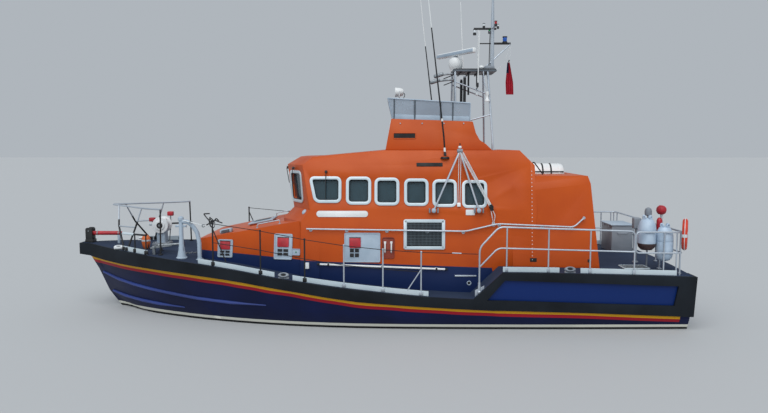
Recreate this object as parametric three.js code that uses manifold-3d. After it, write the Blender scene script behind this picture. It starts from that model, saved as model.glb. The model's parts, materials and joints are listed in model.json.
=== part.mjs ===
// All-weather lifeboat, 14.26 m long, afloat.
// Millimetres. +X is the bow, +Y is port, +Z is up
// The origin is on the centreline amidships, at the water

import * as THREE from "three";
import { mergeVertices } from "three/addons/utils/BufferGeometryUtils.js";
import Module from "manifold-3d";

const wasm = await Module();
wasm.setup();

// Driving dimensions of the hull
const STEM_X = 7070;
const TRANSOM_X = -7070;
const BEAM = 4800;
const FENDER_THICKNESS = 60;
const DECK_THICKNESS = 45;
const DECK_CAMBER = 60;
const HULL_RISE = 200;
const DECK_SPREAD = 300;
const STEM_HALF_WIDTH = 20;
const GAP = 0.3;

// Driving dimensions of the superstructure
const WALL = 60;
const ROOF_Z = 3890;
const SEAM_X = -3700;
const SOLE_Z = 1800;

const COLOURS = {
  navy: ["#16204a", 0.35, 0],
  slate: ["#4a5070", 0.9, 0],
  orange: ["#b5562c", 0.4, 0],
  rubber: ["#15191d", 0.8, 0],
  antifouling: ["#5a2a24", 0.8, 0],
  alloy: ["#b9c4cf", 0.4, 0.8],
  bronze: ["#a58648", 0.35, 0.9],
  white: ["#e4e6e4", 0.4, 0],
  grey: ["#8b939a", 0.6, 0],
  black: ["#1a1c1f", 0.6, 0],
  glass: ["#4b6470", 0.1, 0],
  red: ["#b5202f", 0.8, 0],
  buoy: ["#d8703c", 0.6, 0],
  steel: ["#8d9296", 0.5, 0.8],
};

const boat = new THREE.Group();

function materialOf(colour) {
  const [hex, roughness, metalness] = COLOURS[colour];
  return new THREE.MeshStandardMaterial({ color: hex, roughness, metalness });
}

// A closed geometry becomes a solid that can be joined and cut

function solid(geometry) {
  const bare = geometry.clone();
  bare.deleteAttribute("normal");
  bare.deleteAttribute("uv");
  const merged = mergeVertices(bare, 1e-3);
  const vertProperties = new Float32Array(merged.attributes.position.array);
  const triVerts = new Uint32Array(merged.index.array);
  return new wasm.Manifold(new wasm.Mesh({ numProp: 3, vertProperties, triVerts }));
}

function geometryOf(shape) {
  const { vertProperties, triVerts } = shape.getMesh();
  const geometry = new THREE.BufferGeometry();
  geometry.setAttribute("position", new THREE.BufferAttribute(new Float32Array(vertProperties), 3));
  geometry.setIndex(new THREE.BufferAttribute(new Uint32Array(triVerts), 1));
  return geometry;
}

function join(shapes) {
  return shapes.reduce((whole, shape) => whole.add(shape));
}

function mirrored(shape) {
  return shape.mirror([0, 1, 0]);
}

function add(name, shape, colour, parent = boat) {
  const mesh = new THREE.Mesh(geometryOf(shape), materialOf(colour));
  mesh.name = name;
  parent.add(mesh);
  return mesh;
}

function addPair(name, portShape, colour) {
  add(`port_${name}`, portShape, colour);
  add(`starboard_${name}`, mirrored(portShape), colour);
}

// Basic shapes

function box([x0, x1], [y0, y1], [z0, z1]) {
  const geometry = new THREE.BoxGeometry(x1 - x0, y1 - y0, z1 - z0);
  geometry.translate((x0 + x1) / 2, (y0 + y1) / 2, (z0 + z1) / 2);
  return solid(geometry);
}

// A closed skin through rings of equal length, each end closed by a ladder between its two halves.
// Diagonals mirror from one half of a ring to the other, so a symmetrical ring gives a symmetrical skin.
function loft(rings) {
  const size = rings[0].length;
  const positions = rings.flat().flat();
  const faces = [];
  for (let ring = 0; ring + 1 < rings.length; ring += 1) {
    for (let k = 0; k < size; k += 1) {
      const next = (k + 1) % size;
      const a = ring * size + k;
      const b = ring * size + next;
      const [c, d] = [a + size, b + size];
      faces.push(...(k < size / 2 ? [a, b, d, a, d, c] : [a, b, c, b, d, c]));
    }
  }
  for (const [start, forward] of [[0, false], [(rings.length - 1) * size, true]]) {
    const addFace = (a, b, c) => faces.push(...(forward ? [a, b, c] : [c, b, a]).map((k) => start + k));
    for (let low = 0, high = size - 1; low + 1 < high; low += 1, high -= 1) {
      addFace(low, low + 1, high);
      if (low + 1 < high - 1) {
        addFace(low + 1, high - 1, high);
      }
    }
  }
  const geometry = new THREE.BufferGeometry();
  geometry.setAttribute("position", new THREE.BufferAttribute(new Float32Array(positions), 3));
  geometry.setIndex(faces);
  const shape = solid(geometry);
  return shape.volume() < 0 ? solid(flipped(geometry)) : shape;
}

function flipped(geometry) {
  const index = geometry.index.array;
  for (let k = 0; k < index.length; k += 3) {
    const keep = index[k];
    index[k] = index[k + 1];
    index[k + 1] = keep;
  }
  return geometry;
}

// A round bar through points, mitred at its bends; radius may change along it
function bar(points, radius, sides = 6) {
  const path = points.map((p) => new THREE.Vector3(...p));
  const radii = Array.isArray(radius) ? radius : path.map(() => radius);
  const first = path[1].clone().sub(path[0]).normalize();
  const helper = Math.abs(first.z) > 0.9 ? new THREE.Vector3(1, 0, 0) : new THREE.Vector3(0, 0, 1);
  let side = helper.clone().cross(first).normalize();
  const rings = path.map((point, k) => {
    const before = k > 0 ? point.clone().sub(path[k - 1]).normalize() : first;
    const after = k + 1 < path.length ? path[k + 1].clone().sub(point).normalize() : before;
    const tangent = before.clone().add(after).normalize();
    side = side.clone().sub(tangent.clone().multiplyScalar(side.dot(tangent))).normalize();
    const up = tangent.clone().cross(side);
    const stretch = 1 / Math.max(0.5, before.dot(tangent));
    const bend = after.clone().sub(before);
    const wide = bend.length() > 1e-6 ? bend.normalize() : side;
    return Array.from({ length: sides }, (_, n) => {
      const turn = (2 * Math.PI * n) / sides;
      const spoke = side.clone().multiplyScalar(Math.cos(turn));
      spoke.add(up.clone().multiplyScalar(Math.sin(turn)));
      spoke.add(wide.clone().multiplyScalar(spoke.dot(wide) * (stretch - 1)));
      return point.clone().add(spoke.multiplyScalar(radii[k])).toArray();
    });
  });
  return loft(rings);
}

// An outline in the side view, given as [x, z] points, pushed from y0 to y1
function sideOutline(points, y0, y1) {
  const shape = new THREE.Shape(points.map(([x, z]) => new THREE.Vector2(x, z)));
  const geometry = new THREE.ExtrudeGeometry(shape, { depth: y1 - y0, bevelEnabled: false });
  geometry.rotateX(Math.PI / 2);
  geometry.translate(0, y1, 0);
  return solid(geometry);
}

// A vessel's or housing's round profile of [radius, height] points about +Z
function turned(profile, sides = 12) {
  const points = profile.map(([radius, z]) => new THREE.Vector2(radius, z));
  return solid(new THREE.LatheGeometry(points, sides).rotateX(Math.PI / 2));
}

function alongLine(table, x) {
  const k = Math.max(1, table.findIndex(([at]) => x >= at));
  const [x1, z1] = table[k - 1];
  const [x0, z0] = table[k];
  return z0 + ((z1 - z0) * (x - x0)) / (x1 - x0);
}

// A fair curve through [x, height] points, as a finer list of the same kind
function faired(points, parts = 24) {
  const knots = points.map(([x, z]) => new THREE.Vector3(x, 0, z));
  return new THREE.CatmullRomCurve3(knots, false, "centripetal").getPoints(parts).map(({ x, z }) => [x, z]);
}

// The deck edge falls aft in a fair curve, steps up abreast of the engines and runs level to the stern
const FORE_EDGE = [
  [7070, 1600], [6130, 1545], [4950, 1465], [3700, 1372], [2820, 1277],
  [1940, 1145], [290, 930], [-1400, 765], [-2360, 720],
];
const AFT_EDGE = [[-2980, 1300], [-4200, 1285], [-7400, 1200]];
const DECK_EDGE = [...faired(FORE_EDGE), ...faired(AFT_EDGE, 6)];

// Hull lines, each from the stem to the transom
// breadth: widest half-breadth; full: x where it is reached; power: fullness of the entry
// transom: half-breadth at the transom; tip: half-breadth of a blunt stem; z: [x, height] points
const LINES = {
  keel: { stem: 5200, breadth: 0, full: 0, power: 2, transom: 0,
    z: faired([[5200, -700], [4400, -860], [3000, -950], [0, -1000], [-3000, -880], [-7400, -500]]) },
  garboard: { stem: 6050, breadth: 1080, full: -1500, power: 2.1, transom: 1050,
    z: faired([
      [6050, -180], [5200, -370], [4000, -540], [2000, -640],
      [0, -670], [-3000, -600], [-7400, -340],
    ]) },
  chine: { stem: 6480, breadth: 2050, full: -1600, power: 2.6, transom: 1980,
    z: faired([
      [6480, 385], [5500, 70], [4000, -120], [2000, -220],
      [0, -270], [-3000, -270], [-7400, -200],
    ]) },
  knuckle: { stem: 6730, breadth: 2290, full: -1600, power: 2.6, transom: 2200,
    z: faired([[6730, 940], [5600, 750], [4500, 620], [2100, 420], [0, 320], [-7400, 250]]) },
  sheer: { stem: STEM_X, breadth: BEAM / 2, full: -900, power: 2.7, transom: 2320, tip: 120, z: DECK_EDGE },
};
// Shares of the length from the transom, in stretches with an even number of parts
// The second stretch is the step in the deck edge
const STRETCHES = [
  [0, 0.24, 6], [0.2892, 0.3331, 1], [0.37, 0.61, 6], [0.64, 0.85, 7], [0.87, 0.97, 5], [0.985, 1, 1],
];
const STATIONS = STRETCHES.flatMap(([from, to, parts]) =>
  Array.from({ length: parts + 1 }, (_, k) => (k === parts ? to : from + ((to - from) * k) / parts)));

function halfBreadth(line, x) {
  if (line.breadth === 0) {
    return 0;
  }
  if (x > line.full) {
    const entry = (x - line.full) / (line.stem - line.full);
    return Math.max(line.tip ?? STEM_HALF_WIDTH, line.breadth * (1 - entry ** line.power));
  }
  const run = (line.full - x) / (line.full - TRANSOM_X);
  return line.breadth - (line.breadth - line.transom) * run ** 2;
}

function hullPoint(line, station, grown) {
  const x = TRANSOM_X + (line.stem - TRANSOM_X) * station;
  const y = halfBreadth(line, x) + grown;
  const lengthened = station === 1 ? x + grown : station === 0 ? x - grown : x;
  return [lengthened, y, alongLine(line.z, lengthened)];
}

// The whole hull's sides and bottom, grown outwards by a skin and carried straight up past the deck edge
function hullSolid(grown = 0) {
  const { keel, garboard, chine, knuckle, sheer } = LINES;
  const rings = STATIONS.map((station) => {
    const half = [garboard, chine, knuckle, sheer].map((line) => hullPoint(line, station, grown));
    const [x, y, z] = half[half.length - 1];
    half.push([x, y, z + HULL_RISE]);
    const middle = hullPoint(keel, station, 0);
    const mirror = half.map(([px, py, pz]) => [px, -py, pz]).reverse();
    return [middle, ...half, ...mirror];
  });
  return loft(rings);
}

// A layer along the deck, wider and longer than the hull: level underneath at each station, cambered on top
function deckLayer({ bottom, lift = 0 }) {
  const rings = STATIONS.map((station) => {
    const y = hullPoint(LINES.sheer, station, 0)[1];
    const [x, wide, z] = hullPoint(LINES.sheer, station, DECK_SPREAD);
    const camber = (DECK_CAMBER * y) / (BEAM / 2);
    const half = [[wide, z - bottom], [wide, z + lift], [y, z + lift], [y / 2, z + 0.75 * camber + lift]];
    const port = half.map(([across, height]) => [x, across, height]);
    const starboard = half.map(([across, height]) => [x, -across, height]).reverse();
    return [...port, [x, 0, z + camber + lift], ...starboard];
  });
  return loft(rings);
}

// Engines and the well that they stand in, open under the superstructure
const ENGINE = { length: 1700, width: 880, height: 1050, x: -3150, y: 640, floor: -380 };

function engineWell() {
  return box([-4300, -2000], [-1250, 1250], [ENGINE.floor, 2000]);
}

function engine(side) {
  const { length, width, height, x, y, floor } = ENGINE;
  const middle = side * y;
  const across = [middle - width / 2, middle + width / 2];
  return box([x - length / 2, x + length / 2], across, [floor + GAP, floor + height]);
}

// Running gear under the hull
const SHAFT = { y: 1050, z: -800, propellerX: -5750, forwardX: -3300, slope: 0.09, radius: 38 };
const SHAFT_TILT = Math.atan(SHAFT.slope);
const PROPELLER = { radius: 375, hub: 70, length: 190, blades: 5, thickness: 16 };
const RUDDER = { x: -6430, height: 760, chord: 480, thickness: 70, stock: 36, bury: 100, topGap: 75 };
const GROUND_Z = -1450;

function shaftZ(x) {
  return SHAFT.z + (x - SHAFT.propellerX) * SHAFT.slope;
}

const TUNNEL = {
  radius: 470, z: -740, aftX: -7300, fullX: -4800, endX: -3600, endZ: -1160, endRadius: 150,
};

function tunnel(shrunk = 0) {
  const { radius, z, aftX, fullX, endX, endZ, endRadius } = TUNNEL;
  const radii = [radius, radius, endRadius].map((size) => size - shrunk);
  return bar([[aftX, SHAFT.y, z], [fullX, SHAFT.y, z], [endX, SHAFT.y, endZ]], radii, 16);
}

function shaftLine() {
  const { propellerX, forwardX, y, radius } = SHAFT;
  const aft = propellerX + (PROPELLER.length / 2 + GAP) * Math.cos(SHAFT_TILT);
  const shaft = bar([[aft, y, shaftZ(aft)], [forwardX, y, shaftZ(forwardX)]], radius, 12);
  const barrelX = propellerX + 260;
  const barrel = bar([[barrelX - 110, y, shaftZ(barrelX)], [barrelX + 110, y, shaftZ(barrelX)]], 75, 12);
  const leg = box([barrelX - 80, barrelX + 80], [y - 14, y + 14], [shaftZ(barrelX), 0]);
  return join([shaft, barrel, leg]);
}

// One blade is a swept, pitched plate from the hub to the tip; the wheel is its copies about X
function propeller(turnWay) {
  const { radius, hub, length, blades, thickness } = PROPELLER;
  const half = length / 2;
  const hubBar = bar([[-half - 60, 0, 0], [-half, 0, 0], [half, 0, 0]], [30, hub, hub], 12);
  const stops = [0.15, 0.4, 0.65, 0.85, 1];
  const widths = [0.3, 0.46, 0.56, 0.5, 0.22];
  const rings = stops.map((stop, k) => {
    const out = radius * stop;
    const pitch = turnWay * Math.atan(1 / (stop * 3));
    const half = (radius * widths[k]) / 2;
    const thick = (thickness * (1.25 - stop)) / 2;
    const corner = (along, across) => [
      along * Math.sin(pitch) + across * Math.cos(pitch),
      along * Math.cos(pitch) - across * Math.sin(pitch) + turnWay * 40 * stop * stop,
      out,
    ];
    return [corner(-half, 0), corner(0, thick), corner(half, 0), corner(0, -thick)];
  });
  const blade = loft(rings);
  const wheel = Array.from({ length: blades }, (_, k) => blade.rotate([(360 * k) / blades, 0, 0]));
  return join([hubBar, ...wheel]);
}

function rudder() {
  const { x, height, chord, thickness, stock } = RUDDER;
  const ceiling = TUNNEL.z + TUNNEL.radius;
  const top = ceiling - RUDDER.topGap;
  const section = (z, scale) => [
    [x + 0.25 * chord * scale, SHAFT.y, z], [x + 0.1 * chord * scale, SHAFT.y + thickness / 2, z],
    [x - 0.75 * chord * scale, SHAFT.y + 8, z], [x - 0.75 * chord * scale, SHAFT.y - 8, z],
    [x + 0.1 * chord * scale, SHAFT.y - thickness / 2, z],
  ];
  const blade = loft([section(top - height, 0.8), section(top, 1)]);
  const post = bar([[x, SHAFT.y, top - 20], [x, SHAFT.y, ceiling + RUDDER.bury]], stock, 12);
  return blade.add(post);
}

function stockBore() {
  const top = TUNNEL.z + TUNNEL.radius + RUDDER.bury;
  return bar([[RUDDER.x, SHAFT.y, top - 200], [RUDDER.x, SHAFT.y, top + GAP]], RUDDER.stock + 6, 12);
}

const SKEG = {
  thickness: 140,
  outline: [[2800, -800], [600, -1300], [-900, GROUND_Z], [-5500, GROUND_Z], [-6100, -500]],
};
const BILGE_KEEL = {
  y: 1600,
  thickness: 90,
  outline: [[-2000, -300], [-3400, -1150], [-4300, -1300], [-6100, -1300], [-6500, -200]],
};

// A flat vertical fin under the hull, from its side outline, trimmed to the hull's own bottom
function finUnder(outline, y, thickness, skin) {
  const fin = sideOutline(outline, y - thickness / 2, y + thickness / 2);
  return fin.subtract(skin);
}

// Rubber fender: the hull's side from the stripe to the deck edge, framing an open panel aft
const STRIPE_TOP = [
  [7300, 1345], [6730, 1277], [5990, 1218], [4800, 1166], [3830, 1110], [2980, 1038], [2240, 938],
  [1360, 815], [280, 655], [-790, 572], [-1860, 505], [-2930, 455], [-5080, 395], [-7300, 300],
];
// The fender's face stands upright round the bow, where the sides flare, and sinks into them amidships
// Columns: x, and how far the face lies inside the fender's top edge
const FACE_SET_BACK = [[7300, 0], [5500, 0], [3000, 60], [500, 200], [-7300, 200]];
const AFT_PANEL = [[-3030, 1130], [-6750, 1000], [-6690, 560], [-2650, 690]];

function uprightFace() {
  const rings = STATIONS.filter((station) => station > 0.5).map((station) => {
    const [x, edge] = hullPoint(LINES.sheer, station, FENDER_THICKNESS);
    const y = edge - alongLine(FACE_SET_BACK, x);
    return [[x, y, 500], [x, y, 2600], [x, -y, 2600], [x, -y, 500]];
  });
  return loft(rings);
}

function fender(hullSkin) {
  const upper = DECK_EDGE.map(([x, z]) => [x > 7000 ? 7300 : x < -7000 ? -7300 : x, z]);
  const band = sideOutline([...faired(STRIPE_TOP), ...upper.reverse()], GAP / 2, 2700);
  const panel = sideOutline(AFT_PANEL, 500, 2700);
  const sternOpening = box([-7300, TRANSOM_X], [-1900, 1900], [-500, 1500]);
  const shell = hullSolid(FENDER_THICKNESS).add(uprightFace()).subtract(hullSkin);
  return shell.intersect(band).subtract(panel).subtract(sternOpening);
}

// Superstructure, as half plans at heights: bow centre panel, front corner, middle and aft corner
// front, aft: height at the front and from amidships aft
// half: half-width; panel: half-width of the front panel
// panelX, cornerX, aftX: x of the front panel, the front corner and the aft end
const HOUSE_PLANS = [
  { front: 300, aft: 300, half: 1880, panel: 800, panelX: 1700, cornerX: 1450, aftX: -3700 },
  { front: 2300, aft: 2300, half: 1690, panel: 800, panelX: 1950, cornerX: 1420, aftX: -3830 },
  { front: 2560, aft: 2560, half: 1660, panel: 780, panelX: 1700, cornerX: 1220, aftX: -3850 },
  { front: 3560, aft: 3560, half: 1500, panel: 720, panelX: 1850, cornerX: 1400, aftX: -3800 },
  { front: 3740, aft: ROOF_Z, half: 1370, panel: 640, panelX: 1550, cornerX: 1180, aftX: -3480 },
];
const ROOF_CREST_X = -450;

function houseSolid(inset = 0) {
  const rings = HOUSE_PLANS.map((plan, level) => {
    const top = level === HOUSE_PLANS.length - 1;
    const lower = top ? inset : 0;
    const half = [
      [plan.panelX - inset, plan.panel - inset / 2, plan.front - lower],
      [plan.cornerX - inset, plan.half - inset, plan.front - lower],
      [ROOF_CREST_X, plan.half - inset, plan.aft - lower],
      [plan.aftX + inset, plan.half - inset, plan.aft - lower],
    ];
    return [...half, ...half.map(([x, y, z]) => [x, -y, z]).reverse()];
  });
  return loft(rings);
}

const TRUNK = { frontX: 3880, aftX: 1000, frontTopZ: 1840, aftTopZ: 2400 };

function trunkSolid(inset = 0) {
  const section = (x, half, shoulder, topZ) => {
    const top = topZ - inset;
    return [
      [x, half - inset, 300], [x, shoulder - inset, top],
      [x, inset - shoulder, top], [x, inset - half, 300],
    ];
  };
  const front = section(TRUNK.frontX - inset, 1390, 1150, TRUNK.frontTopZ);
  return loft([section(TRUNK.aftX, 1930, 1660, TRUNK.aftTopZ), front]);
}

// z: height; half: half-width; aftX: x of the aft wall
const CASING_FRONT_X = -3300;
const CASING_PLANS = [
  { z: 300, half: 1880, aftX: -5320 },
  { z: 1360, half: 1800, aftX: -5210 },
  { z: 3150, half: 1570, aftX: -5040 },
  { z: 3320, half: 1500, aftX: -4990 },
];

function casingSolid(inset = 0) {
  const rings = CASING_PLANS.map(({ z, half, aftX }, level) => {
    const height = level === CASING_PLANS.length - 1 ? z - inset : z;
    const [side, aft] = [half - inset, aftX + inset];
    return [
      [CASING_FRONT_X, side, height], [aft, side, height],
      [aft, -side, height], [CASING_FRONT_X, -side, height],
    ];
  });
  return loft(rings);
}

// Liferaft well in the top of the casing
const RAFT = { x: -4360, radius: 260, length: 880, topZ: 3560 };

function raftWell(grown = 0) {
  const reach = RAFT.length / 2 + 60 + grown;
  const side = RAFT.radius + 60 + grown;
  return box([RAFT.x - reach, RAFT.x + reach], [-side, side], [RAFT.topZ - 2 * RAFT.radius - grown, 3500]);
}

function raftCanister() {
  const end = RAFT.length / 2;
  const z = RAFT.topZ - RAFT.radius + GAP;
  const stops = [-end, -end + 60, end - 60, end];
  const radii = [0.8, 1, 1, 0.8].map((scale) => scale * RAFT.radius);
  return bar(stops.map((along) => [RAFT.x + along, 0, z]), radii, 16);
}

// Window openings in the side: aft x, forward x, lower z, upper z; the foremost slopes with the corner
const SIDE_WINDOWS = [
  [565, 1212, 2760, 3264], [-103, 374, 2724, 3259], [-733, -265, 2707, 3237],
  [-1384, -927, 2697, 3218], [-2016, -1558, 2674, 3200], [-2689, -2216, 2650, 3183],
];
const FOREMOST_RAKE = 110;
const CORNER_RADIUS = 70;

function roundedOutline([x0, z0], [x1, z1], radius) {
  const shape = new THREE.Shape();
  shape.moveTo(x0 + radius, z0);
  for (const [cx, cz, start] of [[x1 - radius, z0 + radius, -90], [x1 - radius, z1 - radius, 0],
    [x0 + radius, z1 - radius, 90], [x0 + radius, z0 + radius, 180]]) {
    const from = (start * Math.PI) / 180;
    shape.absarc(cx, cz, radius, from, from + Math.PI / 2, false);
  }
  return shape.getPoints(3).slice(1).map(({ x, y }) => [x, y]);
}

function sideWindow([aftX, frontX, lowZ, highZ], place) {
  const rake = place === 0 ? FOREMOST_RAKE : 0;
  const outline = roundedOutline([aftX, lowZ], [frontX, highZ], CORNER_RADIUS).map(([x, z]) =>
    [x > (aftX + frontX) / 2 ? x - (rake * (highZ - z)) / (highZ - lowZ) : x, z]);
  return sideOutline(outline, -2500, 2500);
}

// Windscreen openings: half-width y0 to y1 of each pane, over the centre panel and its angled corners
const SCREEN_Z = [2740, 3380];
const SCREEN_PANES = [[-210, 210], [290, 640], [-640, -290], [800, 1330], [-1330, -800]];

function screenWindow([y0, y1]) {
  const outline = roundedOutline([y0, SCREEN_Z[0]], [y1, SCREEN_Z[1]], CORNER_RADIUS);
  const shape = new THREE.Shape(outline.map(([y, z]) => new THREE.Vector2(y, z)));
  const geometry = new THREE.ExtrudeGeometry(shape, { depth: 1400, bevelEnabled: false });
  geometry.rotateX(Math.PI / 2);
  geometry.rotateZ(Math.PI / 2);
  geometry.translate(1000, 0, 0);
  return solid(geometry);
}

const DOOR = { y: -150, width: 660, low: 1420, high: 3080, thickness: 50 };

function doorOpening(grown = 0) {
  const { y, width, low, high } = DOOR;
  return box([-5500, -4900], [y - width / 2 - grown, y + width / 2 + grown], [low - grown, high + grown]);
}

function insideSolid(inset) {
  const trunk = trunkSolid(inset);
  return join([houseSolid(inset), trunk, casingSolid(inset).subtract(raftWell(WALL))]);
}

function superstructure(deckBelow) {
  const outer = join([houseSolid(), trunkSolid(), casingSolid()]).subtract(raftWell());
  const openings = [...SIDE_WINDOWS.map(sideWindow), ...SCREEN_PANES.map(screenWindow), doorOpening()];
  return outer.subtract(insideSolid(WALL)).subtract(deckBelow).subtract(join(openings));
}

// Wheelhouse inside, seen through the glass: sole, console and seats
const GLASS = 8;
// Columns: place, x and y of the pedestal
const SEATS = [
  ["port_front", 350, 620],
  ["starboard_front", 350, -620],
  ["port_rear", -1250, 720],
  ["starboard_rear", -1250, -720],
];

function sole() {
  const space = insideSolid(WALL + GAP).subtract(insideTrim());
  return space.intersect(box([SEAM_X + 60, 2200], [-2500, 2500], [SOLE_Z - 40, SOLE_Z]));
}

// The inside solid stops short of the casing's forward end, which lies within the wheelhouse
function insideTrim() {
  return box([-6000, SEAM_X + 50], [-3000, 3000], [0, 5000]);
}

function glazing(xRange, yRange) {
  const skin = insideSolid(WALL + GAP).subtract(insideSolid(WALL + GAP + GLASS));
  return skin.intersect(box(xRange, yRange, [2540, 3440]));
}

const CONSOLE = { frontX: 1180, backX: 820, deskX: 700, topZ: 2660, halfWidth: 1150 };

function helmConsole() {
  const { frontX, backX, deskX, topZ, halfWidth } = CONSOLE;
  const base = SOLE_Z + GAP;
  const desk = [[frontX, topZ - 40], [1000, topZ], [deskX, topZ - 180], [backX, topZ - 280]];
  const outline = [[backX, base], [frontX, base], ...desk];
  const stub = bar([[backX + 20, WHEEL.y, WHEEL.z], [WHEEL.x + WHEEL.hub + GAP, WHEEL.y, WHEEL.z]], 28, 12);
  return sideOutline(outline, -halfWidth, halfWidth).add(stub);
}

// Steering wheel on the face of the console, turning about a fore-and-aft shaft
const WHEEL = { x: 645, y: -620, z: 2280, radius: 190, rim: 16, hub: 35, spokes: 3 };

function helmWheel() {
  const { radius, rim, hub, spokes } = WHEEL;
  const ring = Array.from({ length: 9 }, (_, k) => {
    const turn = (2 * Math.PI * k) / 8;
    return new THREE.Vector2(radius + rim * Math.cos(turn), rim * Math.sin(turn));
  });
  const geometry = new THREE.LatheGeometry(ring, 24).rotateZ(Math.PI / 2);
  const shape = solid(geometry);
  const rimSolid = shape.volume() < 0 ? solid(flipped(geometry)) : shape;
  const spokeBars = Array.from({ length: spokes }, (_, k) => {
    const turn = (2 * Math.PI * k) / spokes + Math.PI / 2;
    return bar([[0, 0, 0], [0, radius * Math.cos(turn), radius * Math.sin(turn)]], 11);
  });
  return join([rimSolid, bar([[-hub, 0, 0], [hub, 0, 0]], 40, 12), ...spokeBars]);
}

function seat(x, y) {
  const column = [[0, 0.3], [150, 0.3], [60, 60], [60, 400], [0, 400]];
  const pedestal = turned(column.map(([radius, z]) => [radius, SOLE_Z + z]));
  const cushion = box([-240, 240], [-240, 240], [SOLE_Z + 390, SOLE_Z + 500]);
  const backOutline = [[-240, 420], [-130, 420], [-200, 1150], [-300, 1150]];
  const back = sideOutline(backOutline.map(([at, z]) => [at, SOLE_Z + z]), -230, 230);
  return join([pedestal, cushion, back]).translate([x, y, 0]);
}

// Aft door, hung on its starboard edge outside the casing's end wall
function door() {
  const { y, width, low, high, thickness } = DOOR;
  const lap = 45;
  const slope = (z) => CASING_PLANS[1].aftX + ((z - 1360) * 170) / 1790;
  const face = (z, out) => slope(z) - out;
  const edge = [low - lap + 20, high + lap];
  const outline = [
    [face(edge[0], GAP), edge[0]], [face(edge[1], GAP), edge[1]],
    [face(edge[1], GAP + thickness), edge[1]], [face(edge[0], GAP + thickness), edge[0]],
  ];
  return sideOutline(outline, y - width / 2 - lap, y + width / 2 + lap);
}

// Open steering position on the roof: a tub with a low folding windshield
const BRIDGE = { frontX: -460, frontTopX: -600, aftX: -2900, half: 1150, topHalf: 1040, wall: 50 };
const COAMING_TOP = [[-600, 4610], [-2460, 4545]];

function bridgeSolid(inset, base) {
  const { frontX, frontTopX, aftX, half, topHalf } = BRIDGE;
  const ring = (x, y, z) => [[x, y, z], [aftX, y, z], [aftX, -y, z], [x, -y, z]];
  return loft([ring(frontX - inset, half - inset, base), ring(frontTopX - inset, topHalf - inset, 4650)]);
}

function bridge() {
  const base = ROOF_Z + GAP;
  const [[, frontZ], aftCorner] = COAMING_TOP;
  const quarter = [aftCorner, [-2530, 4280], [-2620, 4120], [-2760, 4030], [-2900, base]];
  const profile = [[-300, base], [-300, frontZ + 10], ...quarter];
  const inner = bridgeSolid(BRIDGE.wall, base - 100);
  const entry = box([-3000, -2350], [-750, 750], [base - 10, 5000]);
  return bridgeSolid(0, base).intersect(sideOutline(profile, -1300, 1300)).subtract(inner).subtract(entry);
}

// Plain steering console standing inside the front of the tub
function bridgeConsole() {
  const base = ROOF_Z + GAP;
  const outline = [[-980, base], [-760, base], [-760, 4560], [-860, 4560], [-1040, 4440], [-980, 4340]];
  return sideOutline(outline, -330, 330);
}

const WINDSHIELD = { thickness: 10, topFront: 5080, topAft: 4960, lean: 110 };

function windshield() {
  const { thickness, topFront, topAft, lean } = WINDSHIELD;
  const ring = (x, y, z) => [[x, y, z], [BRIDGE.aftX, y, z], [BRIDGE.aftX, -y, z], [x, -y, z]];
  const skin = (inset) => loft([
    ring(BRIDGE.frontTopX - 20 - inset, BRIDGE.topHalf - 20 - inset, 4540),
    ring(BRIDGE.frontTopX - 20 + lean - inset, BRIDGE.topHalf + 20 - inset, 5100),
  ]);
  const [[x0, z0], [x1, z1]] = COAMING_TOP;
  const bottom = (x) => z0 + ((z1 - z0) * (x - x0)) / (x1 - x0) + GAP;
  const [front, aft] = [-300, -2400];
  const outline = [[front, bottom(front)], [aft, bottom(aft)], [aft, topAft], [front, topFront]];
  const band = sideOutline(outline, -1300, 1300);
  return skin(0).subtract(skin(thickness)).intersect(band);
}

// Radar mast on four legs above the after end of the bridge
const MAST = { platformZ: 5740, frontX: -2060, aftX: -3080, half: 450, poleX: -2985, poleTopZ: 7900 };
const RADAR = {
  x: -2150, length: 1540, z: 6150, height: 120, depth: 120, restTurn: 60, pedestalTopZ: 6120,
};
// Columns: x, y and z of the lamp's middle, and its radius
const LAMPS = [
  [-3380, 0, 6490, 45],
  [-3180, 0, 6830, 45],
  [-2580, 0, 6830, 45],
  [MAST.poleX, 520, 6830, 40],
  [MAST.poleX, -520, 6830, 40],
];

function mast() {
  const { platformZ, frontX, aftX, half, poleX, poleTopZ } = MAST;
  const platform = box([aftX, frontX], [-half, half], [platformZ, platformZ + 45]);
  const legs = [-1, 1].flatMap((side) => [
    bar([[frontX - 40, side * (half - 30), platformZ + 20], [frontX - 40, side * 640, ROOF_Z - 60]], 24),
    bar([[-2870, side * (half - 30), platformZ + 20], [-2970, side * 800, ROOF_Z - 60]], 24),
    bar([[frontX - 40, side * 560, 4500], [-2925, side * 640, 4720]], 16),
  ]);
  const pole = bar([[poleX, 0, platformZ + 20], [poleX, 0, 7000], [poleX, 0, poleTopZ]], [38, 30, 16], 10);
  const crosstree = bar([[poleX, -520, 6800], [poleX, 520, 6800]], 20);
  const arms = [
    bar([[-2580, 0, 6800], [-3180, 0, 6800]], 18),
    bar([[poleX, 0, 6130], [-3480, 0, 6500]], 16),
    bar([[poleX, 0, 6450], [-3500, 0, 6450]], 18),
  ];
  const lights = LAMPS.map(([x, y, z, size]) => bar([[x, y, z - 60], [x, y, z + size * 2]], size, 10));
  const domeTop = RADAR.pedestalTopZ;
  const dome = [[0, 5780], [140, 5780], [165, 5860], [160, 5980], [110, 6080], [60, domeTop], [0, domeTop]];
  const gearbox = turned(dome).translate([RADAR.x, 0, 0]);
  const belowRoof = box([-4000, 0], [-2000, 2000], [ROOF_Z - 200, ROOF_Z + GAP]);
  return join([platform, ...legs, pole, crosstree, ...arms, ...lights, gearbox]).subtract(belowRoof);
}

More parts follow.
